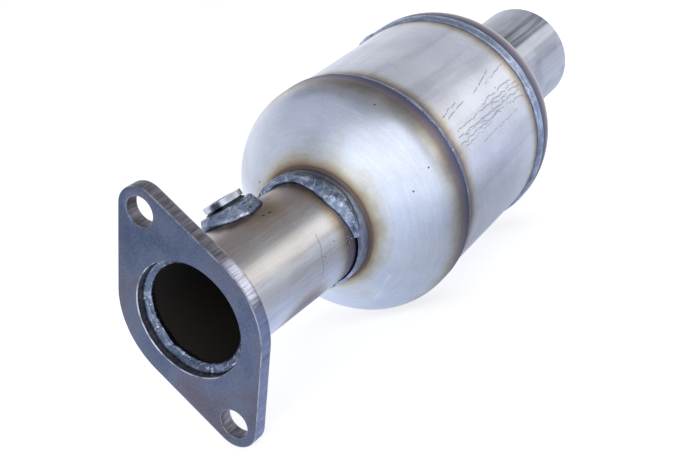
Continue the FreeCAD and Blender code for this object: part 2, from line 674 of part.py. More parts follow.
# Weld over a skirt's edge onto the shell, with the lump where the bead starts and stops.
def make_seam_weld(end, place, mirrored):
    label = f"{end}_seam_weld"
    body = new_body(f"{end}_seam_bead", place)
    sketch = new_sketch(body, "XZ_Plane", f"{label}_section")
    seat = size("shell_diameter") / 2 + size("seam_weld_play")
    seat_text = "shell_diameter / 2 + seam_weld_play"
    skirt = size("shell_diameter") / 2 + size("skirt_play") + size("cone_wall")
    skirt_text = "shell_diameter / 2 + skirt_play + cone_wall"
    texts = (seat_text, "seam_weld_width", skirt_text, "seam_weld_lap", "seam_weld_crown")
    lapped_weld(sketch, (size("seam_weld_width"), seat), (0, seat), (0, skirt),
                (-size("seam_weld_lap"), skirt), texts)
    revolve(body, sketch)
    lump = doc.addObject("Part::Ellipsoid", f"{end}_stop_lump")
    bind(lump, "Radius1", "stop_lump_height")
    bind(lump, "Radius2", "stop_lump_width / 2")
    bind(lump, "Radius3", "stop_lump_length / 2")
    angle = size(f"{end}_lump_angle")
    turn = FreeCAD.Rotation(FreeCAD.Vector(1, 0, 0), angle if mirrored else -angle)
    outward = turn.multVec(FreeCAD.Vector(0, 0, skirt))
    lump.Placement = place.multiply(FreeCAD.Placement(outward, turn))
    rooms = doc.addObject("Part::MultiFuse", f"{end}_seam_rooms")
    rooms.Shapes = [
        seam_room(f"{end}_shell_room", place, seat_text, -size("cone_depth") / 2),
        seam_room(f"{end}_skirt_room", place, skirt_text, -size("cone_depth")),
    ]
    raised = doc.addObject("Part::Cut", f"{end}_raised_lump")
    raised.Base = lump
    raised.Tool = rooms
    weld = doc.addObject("Part::MultiFuse", label)
    weld.Label = label
    weld.Shapes = [body, raised]
    return weld


def seam_room(name, place, radius_text, start):
    """The space of the shell or the skirt, as long as a cone is deep, that a lump stays out of."""
    room = doc.addObject("Part::Cylinder", name)
    bind(room, "Radius", radius_text)
    bind(room, "Height", "cone_depth")
    along = FreeCAD.Rotation(FreeCAD.Vector(0, 1, 0), 90)
    room.Placement = place.multiply(FreeCAD.Placement(FreeCAD.Vector(start, 0, 0), along))
    return room


def make_shell_joint_weld():
    """The low bead along the rolled shell's joint, between the two seam welds."""
    start = inlet_edge() + size("seam_weld_width") + size("joint_weld_end_play")
    turn = FreeCAD.Rotation(FreeCAD.Vector(1, 0, 0), -size("joint_weld_angle"))
    place = canister_frame(start).multiply(FreeCAD.Placement(FreeCAD.Vector(), turn))
    body = new_body("shell_joint_weld", place)
    sketch = new_sketch(body, "YZ_Plane", "joint_weld_section")
    seat = size("shell_diameter") / 2
    half = math.asin(size("joint_weld_width") / 2 / seat)
    out = FreeCAD.Vector(0, 0, 1)
    low = Part.Circle(FreeCAD.Vector(), out, seat)
    foot = sketch.addGeometry(Part.ArcOfCircle(low, math.pi / 2 - half, math.pi / 2 + half))
    right = FreeCAD.Vector(seat * math.sin(half), seat * math.cos(half), 0)
    left = FreeCAD.Vector(-right.x, right.y, 0)
    bow = size("joint_weld_crown")
    crest = FreeCAD.Vector(0, right.y + bow - math.sqrt(bow ** 2 - right.x ** 2), 0)
    crown = sketch.addGeometry(Part.Arc(right, crest, left))
    sketch.addConstraint(Sketcher.Constraint("Coincident", foot, CENTRE, *ROOT))
    sketch.addConstraint(Sketcher.Constraint("Coincident", foot, START, crown, START))
    sketch.addConstraint(Sketcher.Constraint("Coincident", foot, END, crown, END))
    sketch.addConstraint(Sketcher.Constraint("PointOnObject", crown, CENTRE, UPRIGHT))
    measure(sketch, Sketcher.Constraint("Radius", foot, seat), "shell_diameter / 2")
    measure(sketch, Sketcher.Constraint("DistanceX", foot, END, foot, START, 2 * right.x),
            "joint_weld_width")
    measure(sketch, Sketcher.Constraint("Radius", crown, bow), "joint_weld_crown")
    pad(body, sketch,
        "shell_exposed - 2 * seam_weld_width - 2 * joint_weld_end_play")
    return body


# Neck weld: one round bead on the pipe and the collar's rim, left open under the pipe.
def make_inlet_neck_weld(pipe, cone):
    turn = FreeCAD.Rotation(FreeCAD.Vector(1, 0, 0), -size("neck_weld_start_angle"))
    neck = FreeCAD.Vector(size("neck_station"), 0, 0)
    bead = new_body("neck_bead", FreeCAD.Placement(neck, turn))
    sketch = new_sketch(bead, "XZ_Plane", "neck_bead_section")
    pipe_radius = size("inlet_pipe_diameter") / 2
    floor = pipe_radius - size("neck_weld_root")
    radius = size("neck_weld_radius")
    rise = size("collar_play") / 2
    half = math.sqrt(radius ** 2 - (size("neck_weld_root") + rise) ** 2)
    ring = Part.Circle(FreeCAD.Vector(0, pipe_radius + rise, 0), FreeCAD.Vector(0, 0, 1), radius)
    dip = math.asin((size("neck_weld_root") + rise) / radius)
    bow = sketch.addGeometry(Part.ArcOfCircle(ring, -dip, math.pi + dip))
    base = sketch.addGeometry(Part.LineSegment(
        FreeCAD.Vector(-half, floor, 0), FreeCAD.Vector(half, floor, 0)))
    sketch.addConstraint(Sketcher.Constraint("Coincident", bow, END, base, START))
    sketch.addConstraint(Sketcher.Constraint("Coincident", bow, START, base, END))
    sketch.addConstraint(Sketcher.Constraint("Horizontal", base))
    sketch.addConstraint(Sketcher.Constraint("PointOnObject", bow, CENTRE, UPRIGHT))
    measure(sketch, Sketcher.Constraint("Radius", bow, radius), "neck_weld_radius")
    measure(sketch, Sketcher.Constraint("DistanceY", *ROOT, bow, CENTRE, pipe_radius + rise),
            "inlet_pipe_diameter / 2 + collar_play / 2")
    measure(sketch, Sketcher.Constraint("DistanceY", *ROOT, base, START, floor),
            "inlet_pipe_diameter / 2 - neck_weld_root")
    revolve(bead, sketch, "H_Axis", "neck_weld_sweep_angle")
    carriers = doc.addObject("Part::MultiFuse", "neck_carriers")
    carriers.Shapes = [pipe, cone]
    weld = doc.addObject("Part::Cut", "inlet_neck_weld")
    weld.Label = "inlet_neck_weld"
    weld.Base = bead
    weld.Tool = carriers
    return weld


def make_outlet_neck_weld():
    """A full ring bead on the outlet collar's rim and the outlet pipe."""
    body = new_body("outlet_neck_weld", canister_frame(outlet_rim()))
    sketch = new_sketch(body, "XZ_Plane", "outlet_neck_weld_section")
    seat = size("outlet_pipe_diameter") / 2 - size("outlet_sizing_depth")
    step = size("outlet_collar_play") + size("cone_wall")
    texts = ("outlet_pipe_diameter / 2 - outlet_sizing_depth", "outlet_neck_weld_leg",
             "outlet_collar_play + cone_wall", "outlet_neck_weld_crown")
    crowned_fillet(sketch, (size("outlet_neck_weld_leg"), seat), (0, seat), (0, seat + step),
                   texts)
    revolve(body, sketch)
    return body


def make_outlet_pipe():
    """The outlet pipe, sized a little smaller from its tail in the collar to past the weld."""
    place = canister_frame(outlet_rim() - size("outlet_pipe_tail"))
    body = new_body("outlet_pipe", place)
    sketch = new_sketch(body, "XZ_Plane", "outlet_pipe_section")
    outer = size("outlet_pipe_diameter") / 2
    inner = outer - size("outlet_pipe_wall")
    sized = outer - size("outlet_sizing_depth")
    step = size("outlet_pipe_tail") + size("outlet_neck_weld_leg") + size("outlet_sizing_run")
    end = size("outlet_pipe_tail") + size("outlet_pipe_reach")
    corners = [(0, inner), (end, inner), (end, outer), (step, outer), (step, sized), (0, sized)]
    inner_text = "outlet_pipe_diameter / 2 - outlet_pipe_wall"
    outer_text = "outlet_pipe_diameter / 2"
    sized_text = "outlet_pipe_diameter / 2 - outlet_sizing_depth"
    step_text = "outlet_pipe_tail + outlet_neck_weld_leg + outlet_sizing_run"
    end_text = "outlet_pipe_tail + outlet_pipe_reach"
    texts = [("0", inner_text), (end_text, inner_text), (end_text, outer_text),
             (step_text, outer_text), (step_text, sized_text), ("0", sized_text)]
    edges = closed_profile(sketch, corners)
    for edge, (along, across), corner in zip(edges, texts, corners):
        place_point(sketch, edge, START, along, across, corner)
    revolve(body, sketch)
    return body


# Ceramic brick: a skinned cylinder with every whole square channel that fits inside the skin.
BRICK_RADIUS = "shell_diameter / 2 - shell_wall - mat_thickness"


def brick_radius():
    return size("shell_diameter") / 2 - size("shell_wall") - size("mat_thickness")


def brick_start():
    return inlet_edge() + (size("shell_exposed") - size("brick_length")) / 2


def channel_centres(pitch, half, limit):
    count = int(limit // pitch) + 1
    for row_number in range(-count, count + 1):
        for column in range(-count, count + 1):
            across = column * pitch
            up = row_number * pitch
            if math.hypot(abs(across) + half, abs(up) + half) <= limit:
                yield across, up


def square_wire(across, up, half):
    corners = [(-half, -half), (half, -half), (half, half), (-half, half), (-half, -half)]
    return Part.makePolygon([FreeCAD.Vector(0, across + y, up + z) for y, z in corners])


def make_ceramic_brick():
    radius = brick_radius()
    half = (size("channel_pitch") - size("channel_wall")) / 2
    rim = Part.Wire(Part.Circle(FreeCAD.Vector(), FreeCAD.Vector(1, 0, 0), radius).toShape())
    limit = radius - size("brick_skin")
    holes = [square_wire(across, up, half)
             for across, up in channel_centres(size("channel_pitch"), half, limit)]
    face = Part.makeFace([rim] + holes, "Part::FaceMakerBullseye")
    brick = doc.addObject("Part::Feature", "ceramic_brick")
    brick.Label = "ceramic_brick"
    brick.Shape = face.extrude(FreeCAD.Vector(size("brick_length"), 0, 0))
    brick.Placement = canister_frame(brick_start())
    return brick


def make_wrap(label, station, length_text):
    """A ring between the brick and the shell, such as the mat or one of its end seals."""
    body = new_body(label, canister_frame(station))
    sketch = new_sketch(body, "YZ_Plane", f"{label}_section")
    outer = size("shell_diameter") / 2 - size("shell_wall") - size("mat_play")
    circle(sketch, outer, "shell_diameter / 2 - shell_wall - mat_play")
    circle(sketch, brick_radius() + size("mat_play"), f"{BRICK_RADIUS} + mat_play")
    pad(body, sketch, length_text)
    return body


def build_inlet():
    pipe = make_inlet_pipe()
    collar = size("inlet_pipe_diameter") / 2 + size("collar_play") + size("cone_wall")
    collar_text = "inlet_pipe_diameter / 2 + collar_play + cone_wall"
    cone = make_cone("inlet", canister_frame(0), collar_text, collar)
    neck_weld = make_inlet_neck_weld(pipe, cone)
    return [make_inlet_flange(), make_inlet_flange_weld(), pipe, make_sensor_boss(),
            make_sensor_boss_weld(), cone, neck_weld]


def build_canister():
    shell = tube("shell", canister_frame(inlet_edge() - size("inlet_shell_overlap")),
                 "shell_diameter", "shell_wall",
                 "shell_exposed + inlet_shell_overlap + outlet_shell_overlap")
    inlet_seam = make_seam_weld("inlet", canister_frame(inlet_edge()), mirrored=False)
    outlet_seam = make_seam_weld("outlet", faced_back(canister_frame(outlet_edge())),
                                 mirrored=True)
    first = brick_start()
    last = first + size("brick_length")
    seal = size("seal_width")
    return [
        shell, inlet_seam, outlet_seam, make_shell_joint_weld(), make_ceramic_brick(),
        make_wrap("inlet_mat_seal", first, "seal_width"),
        make_wrap("support_mat", first + seal, "brick_length - 2 * seal_width"),
        make_wrap("outlet_mat_seal", last - seal, "seal_width"),
    ]


def build_outlet():
    tail = size("outlet_pipe_diameter") / 2 - size("outlet_sizing_depth")
    collar = tail + size("outlet_collar_play") + size("cone_wall")
    collar_text = ("outlet_pipe_diameter / 2 - outlet_sizing_depth"
                   " + outlet_collar_play + cone_wall")
    cone = make_cone("outlet", faced_back(canister_frame(outlet_rim())), collar_text, collar)
    return [cone, make_outlet_neck_weld(), make_outlet_pipe()]


def check_and_write(parts):
    doc.recompute()
    for item in doc.Objects:
        if "Invalid" in item.State or "Error" in item.State:
            raise ValueError(f"{item.Label} failed: {item.State}")
    for part in parts:
        if part.Shape.isNull() or not part.Shape.isValid():
            raise ValueError(f"{part.Label} has no valid shape")
    os.makedirs("parts", exist_ok=True)
    for part in parts:
        part.Shape.exportStep(f"parts/{part.Label}.step")
        box = part.Shape.BoundBox
        print(f"{part.Label}: {len(part.Shape.Solids)} solid, {part.Shape.Volume:.0f} mm3, "
              f"x {box.XMin:.1f} to {box.XMax:.1f}")


check_and_write(build_inlet() + build_canister() + build_outlet())
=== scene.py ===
import math
from dataclasses import dataclass
from functools import partialmethod
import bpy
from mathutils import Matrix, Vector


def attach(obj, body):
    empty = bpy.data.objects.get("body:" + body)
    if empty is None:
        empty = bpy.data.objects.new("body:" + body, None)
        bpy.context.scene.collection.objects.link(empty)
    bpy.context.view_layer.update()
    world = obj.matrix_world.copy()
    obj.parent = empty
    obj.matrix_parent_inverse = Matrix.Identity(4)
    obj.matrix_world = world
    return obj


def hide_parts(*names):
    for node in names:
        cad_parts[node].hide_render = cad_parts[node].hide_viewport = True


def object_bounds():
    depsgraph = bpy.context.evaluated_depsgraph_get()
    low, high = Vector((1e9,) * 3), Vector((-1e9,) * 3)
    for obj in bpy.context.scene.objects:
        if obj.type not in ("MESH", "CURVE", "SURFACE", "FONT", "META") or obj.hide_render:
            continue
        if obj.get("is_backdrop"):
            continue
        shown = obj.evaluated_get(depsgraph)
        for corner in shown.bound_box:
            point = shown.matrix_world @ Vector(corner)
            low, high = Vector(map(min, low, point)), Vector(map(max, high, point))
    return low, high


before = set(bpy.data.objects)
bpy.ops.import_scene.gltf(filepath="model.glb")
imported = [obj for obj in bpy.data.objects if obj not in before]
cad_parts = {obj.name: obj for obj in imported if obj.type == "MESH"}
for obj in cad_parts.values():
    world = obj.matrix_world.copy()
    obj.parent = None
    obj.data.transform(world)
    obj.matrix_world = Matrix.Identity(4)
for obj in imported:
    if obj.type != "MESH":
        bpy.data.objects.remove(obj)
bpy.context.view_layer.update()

from types import SimpleNamespace

import bmesh
import bpy
from mathutils import Matrix, Vector
from mathutils.noise import noise

# Places and sizes in metres. +X runs along the inlet pipe with the gas, and +Z is up.
MM = 0.001
X_AXIS = Vector((1, 0, 0))
PIPE_RADIUS = 25.4 * MM
PIPE_WALL = 1.5 * MM
PIPE_RECESS = 4.4 * MM
FLANGE_BORE = 26.4 * MM
NECK = Vector((85.5 * MM, 0, 0.5 * MM))
LEAN_SIDE = math.radians(2.5)
LEAN_UP = math.radians(2.0)
SHELL_RADIUS = 57.15 * MM
SKIRT_RADIUS = 58.45 * MM
COLLAR_RADIUS = 27.75 * MM
CREASE_STATION = 8.1 * MM
INLET_EDGE = 47.5 * MM
OUTLET_EDGE = 136.0 * MM
OUTLET_RIM = 180.4 * MM
OUTLET_PIPE_RADIUS = 28.5 * MM
OUTLET_SIZED_RADIUS = 27.9 * MM
OUTLET_COLLAR_RADIUS = 29.45 * MM
OUTLET_CREASE = OUTLET_RIM - 9.2 * MM
SEAM_TOE = 3.6 * MM
SEAM_LAP = 1.1 * MM
BOSS_STATION = 50.3 * MM
BOSS_CLOCK = math.radians(10.5)
BOSS_RADIUS = 9.25 * MM
BRICK_RADIUS = 50.8 * MM
BRICK_LENGTH = 76.2 * MM
BRICK_START = 53.65 * MM

CANISTER = (Matrix.Translation(NECK) @ Matrix.Rotation(LEAN_SIDE, 4, "Z")
            @ Matrix.Rotation(-LEAN_UP, 4, "Y"))
CANISTER_AXIS = CANISTER.to_3x3() @ X_AXIS
BOSS_FRAME = (Matrix.Translation((BOSS_STATION, 0, 0))
              @ Matrix.Rotation(-BOSS_CLOCK, 4, "X"))


def around(clock, station, radius):
    """A point about the X axis, its clock counted from +Z towards +Y in degrees."""
    turn = math.radians(clock)
    return Vector((station, radius * math.sin(turn), radius * math.cos(turn)))


def on_canister(clock, station, radius):
    return CANISTER @ around(clock, station, radius)


def out_of_canister(clock):
    return CANISTER.to_3x3() @ around(clock, 0, 1)


# Camera, and helpers for light and cards.
IMAGE_WIDTH = 683
SENSOR_WIDTH = 36.0
FOCAL_PIXELS = 1288.06
CAMERA_PLACE = Vector((-332.85, -381.44, 125.07)) * MM
CAMERA_RIGHT = Vector((0.541793, -0.755471, -0.368408))
CAMERA_UP = Vector((0.401853, -0.152147, 0.902976))


def link(name, data):
    thing = bpy.data.objects.new(name, data)
    bpy.context.scene.collection.objects.link(thing)
    return thing


def set_camera():
    lens = bpy.data.cameras.new("camera")
    lens.sensor_width = SENSOR_WIDTH
    lens.lens = FOCAL_PIXELS * SENSOR_WIDTH / IMAGE_WIDTH
    camera = link("camera", lens)
    back = CAMERA_RIGHT.cross(CAMERA_UP)
    turn = Matrix((CAMERA_RIGHT, CAMERA_UP, back)).transposed().to_4x4()
    camera.matrix_world = Matrix.Translation(CAMERA_PLACE) @ turn
    bpy.context.scene.camera = camera


def softbox(name, place, target, width, height, watts, color=(1, 1, 1)):
    lamp = bpy.data.lights.new(name, "AREA")
    lamp.shape = "RECTANGLE"
    lamp.size = width
    lamp.size_y = height
    lamp.energy = watts
    lamp.color = color
    box = link(name, lamp)
    box.visible_glossy = False
    box.location = place
    box.rotation_euler = (target - Vector(place)).to_track_quat("-Z", "Y").to_euler()


def flat_card(name, side):
    mesh = bpy.data.meshes.new(name)
    half = side / 2
    corners = [(-half, -half, 0), (half, -half, 0), (half, half, 0), (-half, half, 0)]
    mesh.from_pydata(corners, [], [(0, 1, 2, 3)])
    return link(name, mesh)


# Nodes: a short way to write a tree.
class Value:
    """A node's output. Arithmetic on it adds math nodes to its tree."""

    def __init__(self, nodes, socket):
        self.nodes = nodes
        self.socket = socket

    def calculated(self, operation, *others):
        calculate = self.nodes.vector if self.socket.type == "VECTOR" else self.nodes.math
        return calculate(operation, self, *others)

    __add__ = partialmethod(calculated, "ADD")
    __sub__ = partialmethod(calculated, "SUBTRACT")
    __truediv__ = partialmethod(calculated, "DIVIDE")
    __abs__ = partialmethod(calculated, "ABSOLUTE")
    at_least = partialmethod(calculated, "MAXIMUM")
    at_most = partialmethod(calculated, "MINIMUM")
    dot = partialmethod(calculated, "DOT_PRODUCT")
    length = partialmethod(calculated, "LENGTH")

    def __rsub__(self, other):
        return self.nodes.math("SUBTRACT", other, self)

    def __rtruediv__(self, other):
        return self.nodes.math("DIVIDE", other, self)

    def __mul__(self, other):
        """For a vector: by a tuple part by part, or by one number."""
        if self.socket.type == "VECTOR" and not isinstance(other, tuple):
            return self.nodes.value("ShaderNodeVectorMath", "Vector", {0: self, "Scale": other},
                                    operation="SCALE")
        return self.calculated("MULTIPLY", other)

    def part(self, index):
        return self.nodes.value("ShaderNodeSeparateXYZ", index, {0: self})

    def span(self, low, high, to_low=0.0, to_high=1.0):
        """Maps low..high smoothly to to_low..to_high, and holds the ends."""
        inputs = {"Value": self, "From Min": low, "From Max": high, "To Min": to_low,
                  "To Max": to_high}
        return self.nodes.value("ShaderNodeMapRange", "Result", inputs,
                                interpolation_type="SMOOTHSTEP")

    def fade(self, low, high):
        """Falls smoothly from one at low to nought at high."""
        return self.span(low, high, 1.0, 0.0)


def socket_name(word):
    return word.replace("_", " ").title()


class Tree:
    """A node tree, with calls that add a node and return its output as a value."""

    def __init__(self, tree):
        self.tree = tree

    def node(self, kind, inputs=None, **settings):
        made = self.tree.nodes.new(kind)
        for name, value in settings.items():
            setattr(made, name, value)
        for name, value in (inputs or {}).items():
            self.put(made.inputs[name], value)
        return made

    def value(self, kind, output, inputs=None, **settings):
        return Value(self, self.node(kind, inputs, **settings).outputs[output])

    def put(self, socket, value):
        if isinstance(value, Value):
            self.tree.links.new(value.socket, socket)
        elif socket.type == "RGBA" and len(value) == 3:
            socket.default_value = (*value, 1)
        else:
            socket.default_value = value

    def math(self, operation, *inputs):
        return self.value("ShaderNodeMath", 0, dict(enumerate(inputs)), operation=operation)

    def vector(self, operation, *inputs):
        is_number = operation in ("DOT_PRODUCT", "LENGTH", "DISTANCE")
        return self.value("ShaderNodeVectorMath", "Value" if is_number else "Vector",
                          dict(enumerate(inputs)), operation=operation)

    def noise(self, vector, scale, detail=3.0, roughness=0.55, distortion=0.0):
        inputs = {"Vector": vector, "Scale": scale, "Detail": detail, "Roughness": roughness,
                  "Distortion": distortion}
        return self.value("ShaderNodeTexNoise", "Fac", inputs)

    def mix(self, factor, first, second, blend="MIX"):
        return self.value("ShaderNodeMix", 2, {"Factor": factor, 6: first, 7: second},
                          data_type="RGBA", blend_type=blend)

    def layers(self, color, *layers):
        """Lays colours over one another, each as strong as its mask."""
        for mask, over in layers:
            color = self.mix(mask, color, over)
        return color

    def ramp(self, factor, stops):
        made = self.node("ShaderNodeValToRGB", {"Fac": factor})
        points = made.color_ramp.elements
        while len(points) < len(stops):
            points.new(0.5)
        for point, (place, color) in zip(points, stops):
            point.position = place
            point.color = (*color, 1)
        return Value(self, made.outputs["Color"])

    def join(self, x, y, z=0.0):
        return self.value("ShaderNodeCombineXYZ", 0, {0: x, 1: y, 2: z})

    def group(self, tree, **inputs):
        """Adds a group. Its outputs come back under their names in small letters."""
        named = {socket_name(word): value for word, value in inputs.items()}
        made = self.node("ShaderNodeGroup", named, node_tree=tree)
        return SimpleNamespace(**{socket.name.lower(): Value(self, socket)
                                  for socket in made.outputs})


def node_group(kind, name, inputs, outputs):
    """Makes a node group from the function under it, which gets the inputs as values.

    A socket such as Position:Vector names its kind, and the others are Float.
    """
    def build(write):
        tree = bpy.data.node_groups.new(name, kind)
        for way, sockets in (("INPUT", inputs), ("OUTPUT", outputs)):
            for socket in sockets.split(", "):
                label, _, sort = socket.partition(":")
                tree.interface.new_socket(name=label, in_out=way,
                                          socket_type=f"NodeSocket{sort or 'Float'}")
        nodes = Tree(tree)
        given = nodes.node("NodeGroupInput").outputs[:len(inputs.split(", "))]
        results = write(nodes, *[Value(nodes, socket) for socket in given])
        results = results if isinstance(results, tuple) else (results,)
        for socket, result in zip(nodes.node("NodeGroupOutput").inputs, results):
            nodes.put(socket, result)
        return tree

    return build


def shader_group(name, inputs, outputs):
    return node_group("ShaderNodeTree", name, inputs, outputs)


def geometry_group(name, inputs):
    return node_group("GeometryNodeTree", name,
                      f"Geometry:Geometry, {inputs}, Material:Material", "Geometry:Geometry")


@shader_group("round place", "Position:Vector, Normal:Vector, Origin:Vector, Axis:Vector",
              "Station, Radius, Clock, Inside")
def round_place(nodes, position, normal, origin, axis):
    """Where a point lies about an axis, and whether its face looks inward."""
    from_origin = position - origin
    station = from_origin.dot(axis)
    radial = from_origin - axis * station
    facing = nodes.vector("NORMALIZE", radial).dot(normal)
    clock = nodes.math("ARCTAN2", radial.part(1), radial.part(2))
    return (station * (1 / MM), radial.length() * (1 / MM), clock,
            facing.fade(-0.12, -0.02))


HEAT_REACH = 14.0
HEAT_COLORS = [
    (0.00, (0.12, 0.13, 0.19)),
    (0.10, (0.18, 0.16, 0.22)),
    (0.26, (0.27, 0.22, 0.25)),
    (0.42, (0.39, 0.31, 0.26)),
    (0.56, (0.64, 0.55, 0.42)),
    (0.78, (0.91, 0.87, 0.78)),
    (1.00, (1.00, 1.00, 1.00)),
]


@shader_group("heat tint", "Position:Vector, Distance, Width", "Tint:Color, Heat")
def heat_tint(nodes, position, distance, width):
    """Oxide colours that fade away from a weld, over a distance in millimetres."""
    wander = nodes.noise(position, 95.0, 2.0)
    ripple = nodes.noise(position, 420.0, 2.0)
    stretch = wander * 0.42 + ripple * 0.16 + 0.72
    place = distance * stretch / (width * HEAT_REACH)
    return nodes.ramp(place, HEAT_COLORS), place.fade(0.0, 0.6)


CREASE_REACH = 12.0
CREASE_RISE = 1.3
CREASE_COLORS = [
    (0.00, (0.24, 0.17, 0.13)),
    (0.03, (0.42, 0.29, 0.18)),
    (0.10, (0.60, 0.46, 0.28)),
    (0.26, (0.79, 0.69, 0.49)),
    (0.50, (0.94, 0.89, 0.77)),
    (1.00, (1.00, 1.00, 1.00)),
]
COLLAR_BLUE = (0.40, 0.45, 0.58)
COLLAR_PALE = (0.66, 0.70, 0.80)


@shader_group("collar tint", "Position:Vector, Short Of Crease, Radius, Collar",
              "Tint:Color, Heat")
def collar_tint(nodes, position, short_of_crease, radius, collar):
    """Oxide colours of a cone's neck: blue collar, maroon crease, brown to straw beyond."""
    wander = nodes.noise(position, 70.0, 3.0)
    risen = (radius - collar - CREASE_RISE).at_least(0.0)
    place = risen * wander.span(0.3, 0.7, 0.65, 1.5) / CREASE_REACH
    streaky = nodes.noise(position, 160.0, 3.0, 0.6, 1.0)
    blue = nodes.mix(streaky.span(0.38, 0.62), COLLAR_BLUE, COLLAR_PALE)
    on_collar = short_of_crease.span(0.5, 1.5)
    return (nodes.mix(on_collar, nodes.ramp(place, CREASE_COLORS), blue),
            place.fade(0.0, 0.5))


@shader_group("sheet grain", "Position:Vector, Stretched:Vector, Scale",
              "Shade, Height, Specks")
def sheet_grain(nodes, position, stretched, scale):
    """The fine drawn or rolled grain of sheet metal, with faint blotches and pin specks."""
    fine = nodes.noise(stretched, scale, 4.0, 0.65)
    broad = nodes.noise(position, 38.0, 3.0)
    cell = nodes.node("ShaderNodeTexVoronoi", {"Vector": position, "Scale": 95.0}).outputs
    rare = nodes.value("ShaderNodeTexWhiteNoise", "Value",
                       {"Vector": Value(nodes, cell["Position"])}, noise_dimensions="3D")
    dot = Value(nodes, cell["Distance"]).fade(0.035, 0.06)
    return (fine.span(0.25, 0.75, 0.90, 1.05) + broad.span(0.3, 0.7, -0.07, 0.05), fine,
            dot * rare.span(0.90, 0.93))


@shader_group("wavy scratch", "Station, Arc, Start, End, Level, Slope, Wander, Width, Seed",
              "Mark")
def wavy_scratch(nodes, station, arc, start, end, level, slope, wander, width, seed):
    """One fine wandering scratch, on a strip of station and clock in millimetres."""
    run = station - start
    path = nodes.join(station, seed)
    slow = nodes.noise(path, 0.16, 1.0) - 0.5
    quick = nodes.noise(path, 0.42, 2.0) - 0.5
    middle = (quick * 0.42 + slow) * wander + (run * slope + level)
    line = (abs(arc - middle) / width).fade(0.35, 1.0)
    inside = run.span(0.0, 1.5) * (end - station).span(0.0, 1.5)
    broken = nodes.noise(path, 0.22, 2.0).span(0.36, 0.48, 0.15, 1.0)
    return line * (inside * broken)


@shader_group("speck", "Position:Vector, Centre:Vector, Size", "Mark")
def speck(nodes, position, centre, size):
    """One small mark at a place on a surface."""
    return (nodes.vector("DISTANCE", position, centre) / size).fade(0.5, 1.0)


@shader_group("smear", "Position:Vector, Start:Vector, End:Vector", "Mark")
def smear(nodes, position, start, end):
    """A soft pale rub between two places."""
    along = end - start
    from_start = position - start
    share = (from_start.dot(along) / along.dot(along)).at_least(0.0).at_most(1.0)
    off = nodes.vector("DISTANCE", from_start, along * share)
    broken = nodes.noise(position, 500.0, 2.0).span(0.35, 0.6)
    return broken * off.span(0.0, 1.3 * MM, 0.55, 0.0)


@shader_group("pressed sheet", "Position:Vector, Radius, Clock", "Color:Color, Height")
def pressed_sheet(nodes, position, radius, clock):
    """Satin pressed sheet: soft clouds, and a fine grain brushed round the axis."""
    cloud = nodes.noise(position, 22.0, 2.0).span(0.3, 0.7)
    brushed = nodes.noise(nodes.join(radius * MM, clock * 0.004), 700.0, 3.0, 0.6)
    pale = brushed.span(0.35, 0.75, 0.0, 0.22)
    return nodes.layers((0.62, 0.66, 0.74), (cloud, (0.68, 0.71, 0.76)),
                        (pale, (0.92, 0.94, 0.98))), brushed


# Near black for inward faces: painted shade inside the tubes and cones.
INSIDE_PAINTED_SHADE = (0.026, 0.021, 0.017)


@shader_group("sheet coat", "Base:Color, Tint:Color, Heat, Shade, Specks, Height, Inside, "
              "Roughness", "Color:Color, Roughness, Metallic")
def sheet_coat(nodes, base, tint, heat, shade, specks, height, inside, roughness):
    """What all the stainless sheet shares: tint, grain, specks, and painted shade on its inner
    side.
    """
    color = nodes.mix(1.0, base, tint, "MULTIPLY")
    color = nodes.mix(1.0, color, nodes.join(shade, shade, shade), "MULTIPLY")
    # Inward faces turn near black, rougher and less metallic: painted shade.
    color = nodes.layers(color, (specks, (0.10, 0.09, 0.09)), (inside, INSIDE_PAINTED_SHADE))
    rough = heat * 0.10 + (height * 0.14 + roughness)
    return color, inside * 0.45 + rough, inside * -0.7 + 1.0


@shader_group("weld pattern", "Position:Vector, Run, Across, Dark:Color, Middle:Color, "
              "Light:Color, Glints", "Color:Color, Roughness, Height")
def weld_pattern(nodes, position, run, across, dark, middle, light, glints):
    """Oxidised weld metal: streaks along the run, mottled patches and small painted glints."""
    streak = nodes.noise(nodes.join(run * 110.0, across * 2.4), 1.0, 3.0, 0.6, 0.5)
    patch = nodes.noise(position, 190.0, 3.0, 0.6, 0.6)
    mixed = streak * 0.55 + patch * 0.45
    glint = nodes.noise(position, 480.0, 3.0, 0.7, 0.8)
    where = nodes.noise(position, 75.0, 2.0).span(0.44, 0.54, 0.2, 1.0)
    # Near-white painted glints, in patches.
    painted_highlight = glint.span(0.57, 0.64) * (where * glints)
    color = nodes.layers(dark, (mixed.span(0.36, 0.49), middle),
                         (mixed.span(0.51, 0.63), light), (painted_highlight, (0.86, 0.89, 0.95)))
    rough = painted_highlight * -0.12 + mixed.span(0.35, 0.65, 0.46, 0.27)
    return color, rough, glint * 0.8 + streak


def in_metres(place):
    return tuple(Vector(place) * MM)


